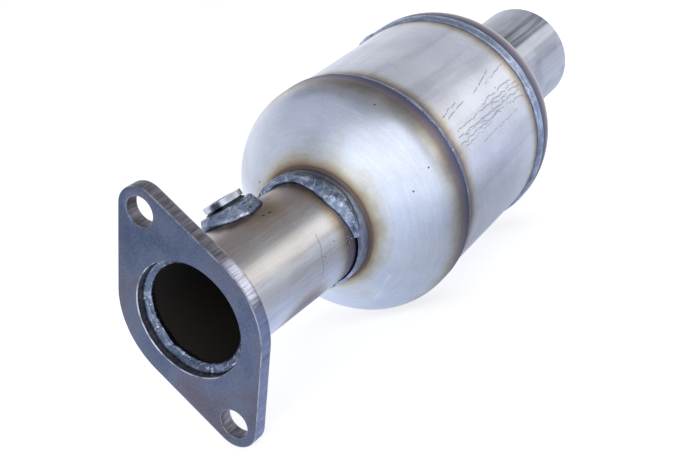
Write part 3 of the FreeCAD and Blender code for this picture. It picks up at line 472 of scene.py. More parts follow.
class Finish(Tree):
    """A material with one Principled BSDF, and the place and normal that its pattern reads."""

    def __init__(self, name, **plain):
        self.material = bpy.data.materials.new(name)
        self.material.use_nodes = True
        super().__init__(self.material.node_tree)
        self.set(**plain)
        self.position = self.value("ShaderNodeTexCoord", "Object")
        self.normal = self.value("ShaderNodeTexCoord", "Normal")

    def set(self, **sockets):
        shader = self.tree.nodes["Principled BSDF"]
        for word, value in sockets.items():
            self.put(shader.inputs[socket_name(word)], value)

    def bump(self, height, distance, strength=1.0):
        inputs = {"Height": height, "Distance": distance, "Strength": strength}
        self.set(normal=self.value("ShaderNodeBump", "Normal", inputs))

    def pattern(self, tree, **inputs):
        """Adds a group that reads the position."""
        return self.group(tree, position=self.position, **inputs)

    def place_about(self, origin, axis):
        return self.pattern(round_place, normal=self.normal, origin=tuple(origin),
                            axis=tuple(axis))

    def specks(self, places, size, marks=0.0):
        """Adds a small mark at each of some places in millimetres."""
        for place in places:
            mark = self.pattern(speck, centre=in_metres(place), size=size * MM).mark
            marks = self.math("MAXIMUM", marks, mark)
        return marks

    def coat(self, place, base, tint, heat, grain, roughness):
        made = self.group(sheet_coat, base=base, tint=tint, heat=heat, shade=grain.shade,
                          specks=grain.specks, height=grain.height, inside=place.inside,
                          roughness=roughness)
        self.set(base_color=made.color, roughness=made.roughness, metallic=made.metallic)


# Marks on the inlet pipe in millimetres, and where its bands lie, as clocks in radians.
PIPE_SPECKS = [(71.7, -25.36, -1.4), (55.9, -12.9, 21.9), (63.3, -24.93, -4.85)]
BOSS_DROPS = [(50.9, -12.6, 22.05), (54.5, -13.1, 21.8)]
PIPE_TINT_END = 81.5
BROWN_START = (-1.05, -0.70)
BROWN_END = (-0.20, 0.10)
FLOOR_REFLECTION_CLOCKS = (-2.2, -1.7)
BOSS_WELD_REACH = 12.5
SCRATCH_SOCKETS = ("start", "end", "level", "slope", "wander", "width")
PIPE_SCRATCH = (-61.0, -33.0, 58.2, 0.18, 3.2, 0.34)


def boss_distance(finish):
    """The distance in millimetres from the sensor boss's weld, over the pipe."""
    local = finish.position - tuple(BOSS_FRAME.translation)
    across = local.dot(tuple(BOSS_FRAME.to_3x3() @ Vector((0, 1, 0))))
    oval = finish.join(local.part(0) * (0.8 / MM), across * (1.0 / MM))
    return (oval.length() - BOSS_WELD_REACH).at_least(0.0)


def make_tube_finish():
    """The inlet pipe: satin drawn tube, brown at the neck and the boss, a painted floor
    reflection underneath, painted shade inside.
    """
    finish = Finish("satin drawn tube", anisotropic=0.3)
    position = finish.position
    place = finish.place_about((0, 0, 0), X_AXIS)
    grain = finish.pattern(sheet_grain, stretched=position * (0.06, 1, 1), scale=900.0)
    from_neck = (PIPE_TINT_END - place.station).at_least(0.0)
    neck = finish.pattern(heat_tint, distance=from_neck + 4.2, width=0.95)
    boss = finish.pattern(heat_tint, distance=boss_distance(finish) + 3.4, width=0.95)
    tint = finish.mix(1.0, neck.tint, boss.tint, "MULTIPLY")
    straw = finish.noise(position, 30.0, 2.0).span(0.35, 0.7)
    brown = place.clock.span(*BROWN_START) * place.clock.fade(*BROWN_END)
    # Lavender on the pipe's underside: a painted reflection of the floor.
    under = place.clock.fade(*FLOOR_REFLECTION_CLOCKS)
    streaks = finish.noise(position * (0.03, 1, 1), 260.0, 2.0).span(0.56, 0.68)
    scratch = finish.group(wavy_scratch, station=place.clock * (PIPE_RADIUS / MM),
                           arc=place.station, seed=2.2,
                           **dict(zip(SCRATCH_SOCKETS, PIPE_SCRATCH))).mark
    marks = finish.specks(PIPE_SPECKS, 0.42, scratch * 0.5)
    marks = finish.specks(BOSS_DROPS, 0.85, marks)
    base = finish.layers(
        (0.67, 0.66, 0.65), (straw, (0.61, 0.58, 0.54)), (brown, (0.50, 0.43, 0.38)),
        (under, (0.63, 0.66, 0.76)), (streaks * 0.35, (0.45, 0.44, 0.40)),
        (marks, (0.06, 0.06, 0.07)))
    finish.coat(place, base, tint, neck.heat.at_least(boss.heat), grain, 0.20)
    finish.bump(grain.height, 0.02 * MM, 0.6)
    return finish.material


CONE_SPECKS = [(118.0, -37.3, 42.7), (117.1, -53.1, 9.4), (115.2, -52.6, 8.1),
               (109.0, -46.7, 2.4)]
DOME_SMEARS = [((107.2, -3.6, -44.4), (102.8, -21.2, -32.3)),
               ((106.0, -1.0, -42.0), (103.5, -9.0, -38.5))]
SPECK_COLOR = (0.10, 0.10, 0.12)
RUBBED = (0.97, 0.97, 0.98)


def make_pressed_finish(name, weld_edge, collar_radius, crease, way, skirt_width):
    """A cone: satin stamping, tinted at its skirt and at its collar's crease, painted shade
    inside.
    """
    finish = Finish(name)
    place = finish.place_about(NECK, CANISTER_AXIS)
    grain = finish.pattern(sheet_grain, stretched=finish.position, scale=1500.0)
    skirt = finish.pattern(heat_tint, distance=abs(place.station - weld_edge / MM),
                           width=skirt_width)
    neck = finish.pattern(collar_tint, short_of_crease=(crease / MM - place.station) * way,
                          radius=place.radius, collar=collar_radius / MM)
    tint = finish.mix(1.0, skirt.tint, neck.tint, "MULTIPLY")
    sheet = finish.pattern(pressed_sheet, radius=place.radius, clock=place.clock)
    rubs = [finish.pattern(smear, start=in_metres(start), end=in_metres(end)).mark
            for start, end in DOME_SMEARS]
    base = finish.layers(sheet.color, (finish.specks(CONE_SPECKS, 0.6), SPECK_COLOR),
                         *[(rub, RUBBED) for rub in rubs])
    finish.coat(place, base, tint, skirt.heat.at_least(neck.heat), grain, 0.25)
    finish.bump(grain.height + sheet.height, 0.012 * MM, 0.5)
    return finish.material


SCRATCHES = [
    # start, end, arc at the start, slope, wander, width
    (58.0, 128.0, -80.0, -0.020, 3.4, 0.46),
    (60.0, 129.0, -77.2, 0.004, 3.0, 0.42),
    (57.0, 103.0, -83.4, 0.010, 4.0, 0.46),
    (60.0, 92.0, -85.6, 0.030, 3.4, 0.42),
    (78.0, 129.0, -82.0, -0.040, 5.0, 0.50),
    (96.0, 130.0, -78.4, -0.020, 4.0, 0.46),
    (64.0, 98.0, -81.6, 0.050, 4.5, 0.44),
    (88.0, 126.0, -75.0, 0.015, 4.5, 0.44),
    (90.0, 114.0, -68.6, 0.210, 1.4, 0.46),
    (103.0, 128.0, -68.4, 0.100, 2.8, 0.46),
    (56.5, 74.0, -68.0, 0.110, 2.2, 0.46),
    (59.5, 80.0, -70.2, 0.100, 2.2, 0.44),
    (76.0, 118.0, -89.5, 0.020, 2.0, 0.36),
]
SEED_STEP = 37.0
SHELL_SPECKS = [(153.5, -29.6, 50.1), (182.0, -45.0, 35.6), (196.0, -49.8, 20.6)]


def make_rolled_finish():
    """The shell: pale rolled sheet, straw at both seams, with wandering scratches."""
    finish = Finish("pale rolled sheet", anisotropic=0.25)
    place = finish.place_about(NECK, CANISTER_AXIS)
    arc = place.clock * (SHELL_RADIUS / MM)
    rolled = finish.join(place.station * MM, arc * (0.12 * MM))
    grain = finish.pattern(sheet_grain, stretched=rolled, scale=1400.0)
    inlet, outlet = [abs(place.station - edge / MM)
                     for edge in (INLET_EDGE + SEAM_TOE, OUTLET_EDGE - SEAM_TOE)]
    seam = finish.pattern(heat_tint, distance=inlet.at_most(outlet) + 4.6, width=0.95)
    cloud = finish.noise(finish.position, 20.0, 2.0).span(0.3, 0.7)
    lengthwise = finish.join(place.station * (0.10 * MM), arc * MM)
    bands = finish.noise(lengthwise, 75.0, 4.0, 0.62).span(0.46, 0.66, 0.0, 0.5)
    marks = 0.0
    for number, scratch in enumerate(SCRATCHES):
        mark = finish.group(wavy_scratch, station=place.station, arc=arc,
                            seed=SEED_STEP * number, **dict(zip(SCRATCH_SOCKETS, scratch))).mark
        marks = finish.math("MAXIMUM", marks, mark)
    base = finish.layers(
        (0.74, 0.76, 0.83), (cloud, (0.79, 0.80, 0.83)), (bands, (0.50, 0.51, 0.56)),
        (marks * 0.55, (0.22, 0.22, 0.25)), (finish.specks(SHELL_SPECKS, 0.5), SPECK_COLOR))
    finish.coat(place, base, seam.tint, seam.heat, grain, 0.30)
    finish.bump(grain.height - marks * 4.0, 0.02 * MM, 0.6)
    return finish.material


DRAW_MARKS_CLOCK = -0.88
PAINTED_HIGHLIGHT_CLOCK = -1.16
OUTLET_TINT_START = 184.0


def make_outlet_tube_finish():
    """The outlet pipe: smooth drawn tube with dark lengthwise draw marks and a painted
    highlight band along one side.
    """
    finish = Finish("smooth drawn tube", anisotropic=0.3)
    place = finish.place_about(NECK, CANISTER_AXIS)
    lengthwise = finish.join(place.station * (0.02 * MM), place.clock * OUTLET_PIPE_RADIUS)
    grain = finish.pattern(sheet_grain, stretched=lengthwise, scale=700.0)
    drawn = abs(place.clock - DRAW_MARKS_CLOCK).span(0.10, 0.22, 1.0, 0.14)
    stripes = drawn * finish.noise(lengthwise, 420.0, 2.0).span(0.40, 0.60)
    from_weld = (place.station - OUTLET_TINT_START).at_least(0.0)
    heat = finish.pattern(heat_tint, distance=from_weld, width=0.7)
    cloud = finish.noise(finish.position * (0.5, 1, 1), 60.0, 2.0).span(0.48, 0.60)
    # A pale band along one clock: a painted highlight.
    painted_highlight_band = abs(place.clock - PAINTED_HIGHLIGHT_CLOCK).span(0.06, 0.17, 0.6, 0.0)
    base = finish.layers(
        (0.46, 0.48, 0.53), (cloud, (0.37, 0.385, 0.44)), (painted_highlight_band, (0.70, 0.71, 0.76)),
        (stripes * 0.92, (0.08, 0.08, 0.10)))
    finish.coat(place, base, heat.tint, heat.heat, grain, 0.27)
    finish.bump(grain.height, 0.015 * MM, 0.5)
    return finish.material


CUT_HIGHLIGHT_PLACE = (2.4, -34.6, 11.5)
PLATE_CLOUD = [
    (0.32, (0.060, 0.085, 0.150)), (0.44, (0.090, 0.120, 0.190)),
    (0.52, (0.125, 0.145, 0.205)), (0.60, (0.130, 0.120, 0.160)),
    (0.72, (0.120, 0.095, 0.110))]
PLATE_GRAIN = [(0.35, (0.04, 0.06, 0.11)), (0.68, (0.27, 0.30, 0.40))]
CUT_BROWN = [(0.34, (0.130, 0.120, 0.135)), (0.52, (0.225, 0.205, 0.220)),
             (0.70, (0.340, 0.330, 0.360))]
CUT_BLUE = [(0.34, (0.15, 0.18, 0.28)), (0.70, (0.27, 0.30, 0.43))]


def make_plate_finish():
    """The flange: blue-grey mill plate, pale at its broken edges from wear and painted
    highlight, with a painted highlight patch on its striated cut side.
    """
    finish = Finish("blue-grey plate")
    position = finish.position
    facing = abs(finish.normal.part(0))
    side = facing.fade(0.10, 0.25)
    corner = facing.span(0.12, 0.3) * facing.fade(0.90, 0.99)
    across, height = position.part(1), position.part(2)
    cloud = (finish.noise(position, 42.0, 5.0, 0.65, 0.4)
             + height.span(-48 * MM, -14 * MM, 0.13, -0.02))
    fine = finish.noise(position, 900.0, 4.0, 0.75)
    face = finish.mix(0.32, finish.ramp(cloud, PLATE_CLOUD), finish.ramp(fine, PLATE_GRAIN))
    cut = finish.noise(position * (0.05, 1, 1), 1500.0, 3.0, 0.6)
    slow = finish.noise(position * (0.3, 1, 1), 150.0, 2.0)
    low = height.fade(-6 * MM, 4 * MM) * across.fade(-9 * MM, -7 * MM)
    # A pale patch on the cut side: a painted highlight.
    painted_highlight = finish.specks([CUT_HIGHLIGHT_PLACE], 12.5) * cut.span(0.36, 0.58, 0.45, 1.0)
    rim = finish.layers(
        finish.ramp(cut, CUT_BROWN), (low, finish.ramp(cut, CUT_BLUE)),
        (slow.span(0.56, 0.66, 0.0, 0.5), (0.13, 0.11, 0.12)), (painted_highlight, (0.84, 0.83, 0.92)))
    # The broken edges are pale: partly wear, partly a painted highlight.
    edge_wear_and_highlight = corner * slow.span(0.36, 0.56, 0.15, 0.9)
    color = finish.layers(face, (side, rim), (edge_wear_and_highlight, (0.62, 0.63, 0.70)))
    finish.set(base_color=color, roughness=edge_wear_and_highlight * -0.2 + fine.span(0.3, 0.7, 0.38, 0.54),
               metallic=side * 0.1 + 0.85)
    relief = finish.mix(side, finish.join(fine, fine, fine), finish.join(cut, cut, cut))
    finish.bump(relief, 0.06 * MM, 0.7)
    return finish.material


def make_weld_finish(name, dark, middle, light, glints):
    """Weld metal under steel-blue oxide, streaked along the way it was laid, with painted
    glints.
    """
    finish = Finish(name, metallic=1.0)
    run, across = [finish.value("ShaderNodeAttribute", "Fac", attribute_name=label)
                   for label in ("run", "across")]
    metal = finish.pattern(weld_pattern, run=run, across=across, dark=dark, middle=middle,
                           light=light, glints=glints)
    finish.set(base_color=metal.color, roughness=metal.roughness)
    finish.bump(metal.height, 0.18 * MM, 0.8)
    return finish.material


GROOVE_STATION = 31.4


def make_turned_finish():
    """The sensor boss: clean turned steel with fine rings, and painted shade below the groove
    under its lip.
    """
    finish = Finish("turned steel", metallic=1.0)
    axis = BOSS_FRAME.to_3x3() @ Vector((0, 0, 1))
    place = finish.place_about(BOSS_FRAME.translation, axis)
    turned = finish.noise(finish.join(place.radius * MM, place.station * MM), 5200.0, 2.0)
    stain = finish.noise(finish.position, 260.0, 3.0)
    # Near black below the groove: painted shade under the lip.
    painted_groove_shade = place.station.fade(GROOVE_STATION - 0.1, GROOVE_STATION + 0.1)
    color = finish.layers(
        (0.55, 0.57, 0.62), (stain.span(0.4, 0.7), (0.34, 0.35, 0.39)),
        (turned.span(0.3, 0.7, 0.0, 0.3), (0.36, 0.37, 0.40)), (painted_groove_shade, (0.035, 0.035, 0.045)))
    finish.set(base_color=color, roughness=stain.span(0.3, 0.7, 0.20, 0.36))
    finish.bump(turned, 0.02 * MM, 0.6)
    return finish.material


def make_plain_finish(name, light, dark, scale, roughness, metallic=0.0):
    """A hidden piece's finish: two shades of one colour over a fibrous grain."""
    finish = Finish(name, metallic=metallic)
    coarse = finish.noise(finish.position * (1, 0.3, 1), scale, 4.0, 0.7)
    finish.set(base_color=finish.mix(coarse.span(0.3, 0.7), light, dark),
               roughness=coarse.span(0.3, 0.7, roughness, roughness + 0.15))
    finish.bump(coarse, 0.2 * MM, 0.8)
    return finish.material


WELD = make_weld_finish("weld metal", (0.065, 0.085, 0.135), (0.21, 0.25, 0.33),
                        (0.46, 0.51, 0.60), 0.85)
# A darker copy of the weld metal, for the bead inside the flange's bore: painted shade.
WELD_IN_PAINTED_SHADE = make_weld_finish("shaded weld metal", (0.035, 0.045, 0.075), (0.12, 0.15, 0.21),
                             (0.30, 0.35, 0.45), 0.7)
SEAM_METAL = make_weld_finish("smooth weld metal", (0.21, 0.26, 0.37), (0.37, 0.44, 0.57),
                              (0.58, 0.64, 0.76), 0.5)
LAP_METAL = make_weld_finish("dark weld metal", (0.08, 0.095, 0.145), (0.18, 0.21, 0.30),
                             (0.38, 0.43, 0.54), 0.35)
FINISHES = {
    "inlet_flange": make_plate_finish(),
    "inlet_pipe": make_tube_finish(),
    "sensor_boss": make_turned_finish(),
    "inlet_cone": make_pressed_finish("satin pressed sheet", INLET_EDGE, COLLAR_RADIUS,
                                      CREASE_STATION, 1, 1.3),
    "shell": make_rolled_finish(),
    "outlet_cone": make_pressed_finish("satin pressed sheet, outlet", OUTLET_EDGE,
                                       OUTLET_COLLAR_RADIUS, OUTLET_CREASE, -1, 1.6),
    "outlet_pipe": make_outlet_tube_finish(),
    "ceramic_brick": make_plain_finish("fired ceramic", (0.46, 0.41, 0.33), (0.30, 0.26, 0.21),
                                       900.0, 0.75),
    "support_mat": make_plain_finish("fibre mat", (0.78, 0.75, 0.68), (0.60, 0.56, 0.48),
                                     700.0, 0.85),
    "inlet_mat_seal": make_plain_finish("knitted wire", (0.55, 0.54, 0.53), (0.20, 0.19, 0.18),
                                        1400.0, 0.35, 1.0),
}
FINISHES["outlet_mat_seal"] = FINISHES["inlet_mat_seal"]


# Weld beads: a run of sections, rippled afterwards by one geometry tree.
@dataclass
class BeadSection:
    """One cut across a bead: its toes, the hidden points under it, and its crown's shape."""

    first: Vector
    last: Vector
    under: list
    bulge: Vector = None
    corner: Vector = None
    sharpness: float = 1.0

    def crown(self, share):
        """A point of the crown: bowed by the bulge, or drawn towards the corner."""
        if self.corner is None:
            return self.first.lerp(self.last, share) + self.bulge * (4 * share * (1 - share))
        start, end = (1 - share) ** 2, share ** 2
        pull = 2 * self.sharpness * share * (1 - share)
        whole = self.first * start + self.corner * pull + self.last * end
        return whole / (start + pull + end)


def ring_faces(rows, ring, closed):
    """Four-sided faces between rows of points, each row a closed ring."""
    faces = []
    for row in range(rows if closed else rows - 1):
        low = row * ring
        high = (row + 1) % rows * ring
        for index in range(ring):
            after = (index + 1) % ring
            faces.append((low + index, low + after, high + after, high + index))
    return faces


def closed_skin(name, points, faces):
    """A new mesh of the points and faces, its faces turned outward."""
    mesh = bpy.data.meshes.new(name)
    mesh.from_pydata(points, [], faces)
    work = bmesh.new()
    work.from_mesh(mesh)
    bmesh.ops.recalc_face_normals(work, faces=work.faces)
    work.to_mesh(mesh)
    work.free()
    return mesh


def bead_mesh(name, section_at, steps, closed, crown_points):
    """A closed skin over a run of sections. Its attributes say where each point lies on it."""
    points, runs, acrosses, swells = [], [], [], []
    travelled = 0.0
    previous = None
    for step in range(steps if closed else steps + 1):
        section = section_at(step / steps)
        middle = (section.first + section.last) / 2
        travelled += (middle - previous).length if previous else 0.0
        previous = middle
        for index in range(crown_points):
            share = index / (crown_points - 1)
            points.append(section.crown(share))
            runs.append(travelled)
            acrosses.append(2 * share - 1)
            swells.append(math.sin(math.pi * share) ** 0.7)
        for hidden in section.under:
            points.append(hidden)
            runs.append(travelled)
            acrosses.append(0.0)
            swells.append(0.0)
    ring = crown_points + len(section.under)
    rows = len(points) // ring
    faces = ring_faces(rows, ring, closed)
    if not closed:
        faces.append(tuple(range(ring)))
        faces.append(tuple(reversed(range((rows - 1) * ring, rows * ring))))
    mesh = closed_skin(name, points, faces)
    for label, values in (("run", runs), ("across", acrosses), ("swell", swells)):
        mesh.attributes.new(label, "FLOAT", "POINT").data.foreach_set("value", values)
    return link(name, mesh)


def finish_geometry(nodes, shape, material, smooth=True):
    whole = nodes.value("GeometryNodeRealizeInstances", 0, {"Geometry": shape})
    if smooth:
        whole = nodes.value("GeometryNodeSetShadeSmooth", 0, {"Geometry": whole})
    return nodes.value("GeometryNodeSetMaterial", 0, {"Geometry": whole, "Material": material})


@geometry_group("weld ripples", "Pitch, Depth, Curl, Lump Size, Lump Depth, Seed")
def weld_ripples(nodes, geometry, pitch, depth, curl, lump_size, lump_depth, seed, material):
    """Lays the curved ripples of a weld pool on a bead, and makes it lumpy."""
    run, across, swell = [
        nodes.value("GeometryNodeInputNamedAttribute", "Attribute", {"Name": label},
                    data_type="FLOAT") for label in ("run", "across", "swell")]
    position = nodes.value("GeometryNodeInputPosition", 0)
    curve = across * across * curl
    unsteady = nodes.noise(position, 160.0, 2.0)
    phase = run / pitch + nodes.math("MULTIPLY_ADD", unsteady, 2.2, curve)
    wave = abs(nodes.math("SINE", phase * math.pi))
    step = nodes.math("POWER", wave, 0.6) - 0.6
    lump = nodes.noise(position + nodes.join(seed, 0.0), 1.0 / lump_size) - 0.48
    high = (step * depth + lump * lump_depth) * swell
    offset = nodes.value("GeometryNodeInputNormal", 0) * high
    moved = nodes.value("GeometryNodeSetPosition", 0, {"Geometry": geometry, "Offset": offset})
    return finish_geometry(nodes, moved, material)


@geometry_group("spatter", "Density, Smallest, Largest, Seed:Int")
def spatter(nodes, geometry, density, smallest, largest, seed, material):
    """Throws small flat droplets of weld metal over a patch of surface."""
    thrown = nodes.value("GeometryNodeDistributePointsOnFaces", "Points",
                         {"Mesh": geometry, "Density": density, "Seed": seed})
    drop = nodes.value("GeometryNodeMeshIcoSphere", "Mesh", {"Radius": 1.0, "Subdivisions": 2})
    width = nodes.value("FunctionNodeRandomValue", 1, {2: smallest, 3: largest, "Seed": seed},
                        data_type="FLOAT")
    placed = nodes.value("GeometryNodeInstanceOnPoints", 0,
                         {"Points": thrown, "Instance": drop, "Scale": width})
    return finish_geometry(nodes, placed, material)


def grow(thing, tree, **inputs):
    """Runs a geometry tree on an object and keeps the result as a plain mesh."""
    modifier = thing.modifiers.new("grow", "NODES")
    modifier.node_group = tree
    values = {socket_name(word): value for word, value in inputs.items()}
    for socket in tree.interface.items_tree:
        if socket.in_out == "INPUT" and socket.name in values:
            modifier[socket.identifier] = values[socket.name]
    bpy.context.view_layer.update()
    evaluated = thing.evaluated_get(bpy.context.evaluated_depsgraph_get())
    grown = bpy.data.meshes.new_from_object(evaluated)
    thing.modifiers.remove(modifier)
    thing.data = grown


def settle(thing, slot, *nodes):
    """Gives a finished piece to the part, in place of the solids it stands for."""
    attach(thing, "root")
    if nodes:
        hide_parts(*nodes)


def lay_bead(name, node, section_at, steps, pitch, depth, closed=True, crown_points=15,
             curl=0.9, lump_size=5 * MM, lump_depth=0.8 * MM, seed=0.0, metal=WELD):
    """Lays a rippled bead over a run of sections, in place of its solid."""
    bead = bead_mesh(name, section_at, steps, closed, crown_points)
    grow(bead, weld_ripples, pitch=pitch, depth=depth, curl=curl, lump_size=lump_size,
         lump_depth=lump_depth, seed=seed, material=metal)
    settle(bead, "weld_metal", node)


def near(value, middle, width):
    """A smooth bump of height one about a middle."""
    return math.exp(-((value - middle) / width) ** 2)


def wobble(value, seed, pace):
    """A repeatable unevenness between about -1 and 1."""
    return 2 * noise(Vector((value * pace, seed, 0.5)))


def round_wobble(clock, seed, pace):
    """The same round a circle, so that its end meets its start."""
    turn = math.radians(clock)
    return 2 * noise(Vector((pace * math.cos(turn), pace * math.sin(turn), seed)))


def add_flange_bead():
    """The bead over the pipe's end, inside the flange: uneven, and spilt into the pipe."""
    inside = PIPE_RADIUS - PIPE_WALL

    def section(share):
        clock = 360 * share
        uneven = round_wobble(clock, 3.1, 2.5)
        wide = 1.3 * near(clock, 160, 48) + 0.8 * near(clock, 100, 16)
        spill = (3.6 + 0.5 * wide + 0.5 * uneven) * MM
        toe = PIPE_RECESS - (1.1 + 0.4 * wide + 0.3 * round_wobble(clock, 8.2, 4.0)) * MM
        notch = 0.5 * near(clock, 126, 8) - 0.8 * near(clock, 117, 5)
        high = 2.0 + 0.8 * wide + 0.3 * uneven + notch
        return BeadSection(
            around(clock, toe, FLANGE_BORE), around(clock, PIPE_RECESS + spill, inside),
            [around(clock, PIPE_RECESS, inside), around(clock, PIPE_RECESS, FLANGE_BORE)],
            corner=around(clock, PIPE_RECESS + 0.5 * MM, inside - high * MM), sharpness=2.2)

    # The bore's bead takes the darker copy of the weld metal: painted shade.
    lay_bead("flange_bead", "inlet_flange_weld", section, 720, 2.4 * MM, 0.16 * MM,
             lump_size=3 * MM, lump_depth=0.9 * MM, metal=WELD_IN_PAINTED_SHADE)


NECK_BEAD_START = 185.0
NECK_BEAD_END = -104.0
NECK_BEAD_TAPERS = (0.03, 0.11)


def add_neck_bead():
    """The bead between the inlet pipe and the cone's collar, thinning out under the pipe."""

    def section(share):
        clock = NECK_BEAD_START + (NECK_BEAD_END - NECK_BEAD_START) * share
        full = min(1.0, share / NECK_BEAD_TAPERS[0], (1 - share) / NECK_BEAD_TAPERS[1])
        full = math.sin(full * math.pi / 2) ** 0.8 if full > 0 else 0.02
        toe = (-1.5 - 3.7 * near(clock, -56, 30) + 0.4 * wobble(clock, 1.5, 0.07)) * full
        lap = (3.6 + 1.5 * near(clock, -52, 34) + 0.4 * wobble(clock, 6.5, 0.06)) * full
        first = around(clock, NECK.x + toe * MM, PIPE_RADIUS)
        last = on_canister(clock, lap * MM, COLLAR_RADIUS)
        over = on_canister(clock, -0.6 * MM, COLLAR_RADIUS + 1.9 * full * MM)
        rim = on_canister(clock, 0, COLLAR_RADIUS - 0.3 * MM)
        seat = around(clock, NECK.x, PIPE_RADIUS)
        return BeadSection(first, last, [rim, seat], corner=over, sharpness=1.5)

    lay_bead("neck_bead", "inlet_neck_weld", section, 760, 3.4 * MM, 0.12 * MM, closed=False,
             crown_points=19, curl=1.6, lump_depth=1.5 * MM, seed=0.3)


def add_seam_bead(name, node, edge, way, lap, rise, metal, lump_clock, seed):
    """A bead over a skirt's edge onto the shell, with the lump where it starts and stops."""

    def section(share):
        clock = 360 * share - 180
        lump = near(clock, lump_clock, 4.2) + 0.8 * near(clock, lump_clock + 5, 2.4)
        toe = SEAM_TOE + (0.22 * round_wobble(clock, seed, 6.0) + 0.8 * lump) * MM
        over = lap + (0.10 * round_wobble(clock, seed + 4, 9.0) + 1.2 * lump) * MM
        return BeadSection(
            on_canister(clock, edge - way * over, SKIRT_RADIUS),
            on_canister(clock, edge + way * toe, SHELL_RADIUS),
            [on_canister(clock, edge, SHELL_RADIUS - 0.1 * MM),
             on_canister(clock, edge, SKIRT_RADIUS - 0.3 * MM)],
            out_of_canister(clock) * (rise + 1.25 * lump * MM))

    lay_bead(name, node, section, 1500, 1.6 * MM, 0.10 * MM, crown_points=11,
             lump_size=4 * MM, lump_depth=0.22 * MM, seed=seed, metal=metal)


def add_outlet_neck_bead():
    """The bead round the outlet pipe, over the rim of the cone's collar."""

    def section(share):
        clock = 360 * share
        toe = (4.0 + 0.4 * round_wobble(clock, 2.2, 3.0)) * MM
        return BeadSection(
            on_canister(clock, OUTLET_RIM - 1.2 * MM, OUTLET_COLLAR_RADIUS),
            on_canister(clock, OUTLET_RIM + toe, OUTLET_SIZED_RADIUS),
            [on_canister(clock, OUTLET_RIM, OUTLET_SIZED_RADIUS - 0.1 * MM),
             on_canister(clock, OUTLET_RIM, OUTLET_COLLAR_RADIUS - 0.3 * MM)],
            out_of_canister(clock) * (0.75 * MM))

    lay_bead("outlet_neck_bead", "outlet_neck_weld", section, 800, 2.0 * MM, 0.22 * MM,
             crown_points=13, lump_depth=0.5 * MM, seed=1.7)


JOINT_CLOCK = 150.0


def add_rolled_joint_bead():
    """The straight bead that closes the rolled shell."""
    start = INLET_EDGE + SEAM_TOE + 0.4 * MM
    end = OUTLET_EDGE - SEAM_TOE - 0.4 * MM
    half = math.degrees(2.0 * MM / SHELL_RADIUS)

    def section(share):
        station = start + (end - start) * share
        middle = JOINT_CLOCK + 0.25 * wobble(share, 5.1, 9.0)
        return BeadSection(
            on_canister(middle - half, station, SHELL_RADIUS),
            on_canister(middle + half, station, SHELL_RADIUS),
            [on_canister(JOINT_CLOCK, station, SHELL_RADIUS - 0.2 * MM)],
            out_of_canister(JOINT_CLOCK) * (0.5 * MM))

    lay_bead("rolled_joint_bead", "shell_joint_weld", section, 420, 1.7 * MM, 0.14 * MM,
             closed=False, crown_points=11, lump_depth=0.2 * MM, seed=2.9)


BOSS_WELD_LENGTH = 16.6 * MM
BOSS_WELD_WIDTH = 12.6 * MM
BOSS_WELD_SHIFT = -0.2 * MM
BOSS_WELD_TOP = 30.0 * MM
BOSS_WELD_SHELF = (12.6 * MM, 10.9 * MM)


def add_boss_fillet():
    """The heavy weld round the sensor boss: flat sides, and a shelf under the boss's lip."""
    hug = BOSS_RADIUS + 0.15 * MM

    def on_pipe(along, aside, sunk=0.0):
        drop = math.sqrt(PIPE_RADIUS ** 2 - aside ** 2)
        return BOSS_FRAME @ Vector((along, aside, drop - sunk))

    def section(share):
        clock = 360 * share
        cos, sin = math.cos(math.radians(clock)), math.sin(math.radians(clock))
        uneven = round_wobble(clock, 4.4, 2.1)
        stop = near((clock + 180) % 360 - 180, -14, 20)
        reach = 1.0 + 0.04 * uneven + 0.05 * stop
        foot = on_pipe(BOSS_WELD_SHIFT + BOSS_WELD_LENGTH * cos * reach,
                       BOSS_WELD_WIDTH * sin * reach)
        top = BOSS_FRAME @ Vector((hug * cos, hug * sin, BOSS_WELD_TOP))
        under = on_pipe(hug * cos, hug * sin, sunk=0.3 * MM)
        along, aside = [size * (1.0 + 0.10 * stop + 0.04 * uneven) for size in BOSS_WELD_SHELF]
        shelf = BOSS_FRAME @ Vector((0.5 * BOSS_WELD_SHIFT + along * cos, aside * sin,
                                     BOSS_WELD_TOP + 0.2 * MM * uneven))
        return BeadSection(foot, top, [under], corner=shelf, sharpness=4.5)

    lay_bead("boss_fillet", "sensor_boss_weld", section, 420, 3.0 * MM, 0.12 * MM,
             crown_points=25, curl=1.6, lump_size=4 * MM, lump_depth=1.5 * MM, seed=4.2)


EDGE_BREAK = 0.28 * MM


def add_flange_plate():
    """The laser-cut plate with its sharp edges just broken."""
    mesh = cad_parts["inlet_flange"].data.copy()
    work = bmesh.new()
    work.from_mesh(mesh)
    bmesh.ops.remove_doubles(work, verts=work.verts, dist=0.001 * MM)
    sharp = [edge for edge in work.edges
             if len(edge.link_faces) == 2 and edge.calc_face_angle() > math.radians(60)]
    bmesh.ops.bevel(work, geom=sharp, offset=EDGE_BREAK, segments=2, profile=0.5,
                    affect="EDGES", clamp_overlap=True)
    for face in work.faces:
        stations = [vert.co.x for vert in face.verts]
        face.smooth = max(stations) - min(stations) > 0.01 * MM
    work.to_mesh(mesh)
    work.free()
    # The copied normals belong to the unbroken edges and would shade the flat faces unevenly.
    if "custom_normal" in mesh.attributes:
        mesh.attributes.remove(mesh.attributes["custom_normal"])
    mesh.set_sharp_from_angle(angle=math.radians(32))
    mesh.materials.clear()
    mesh.materials.append(FINISHES["inlet_flange"])
    settle(link("flange_plate", mesh), "plate_steel", "inlet_flange")


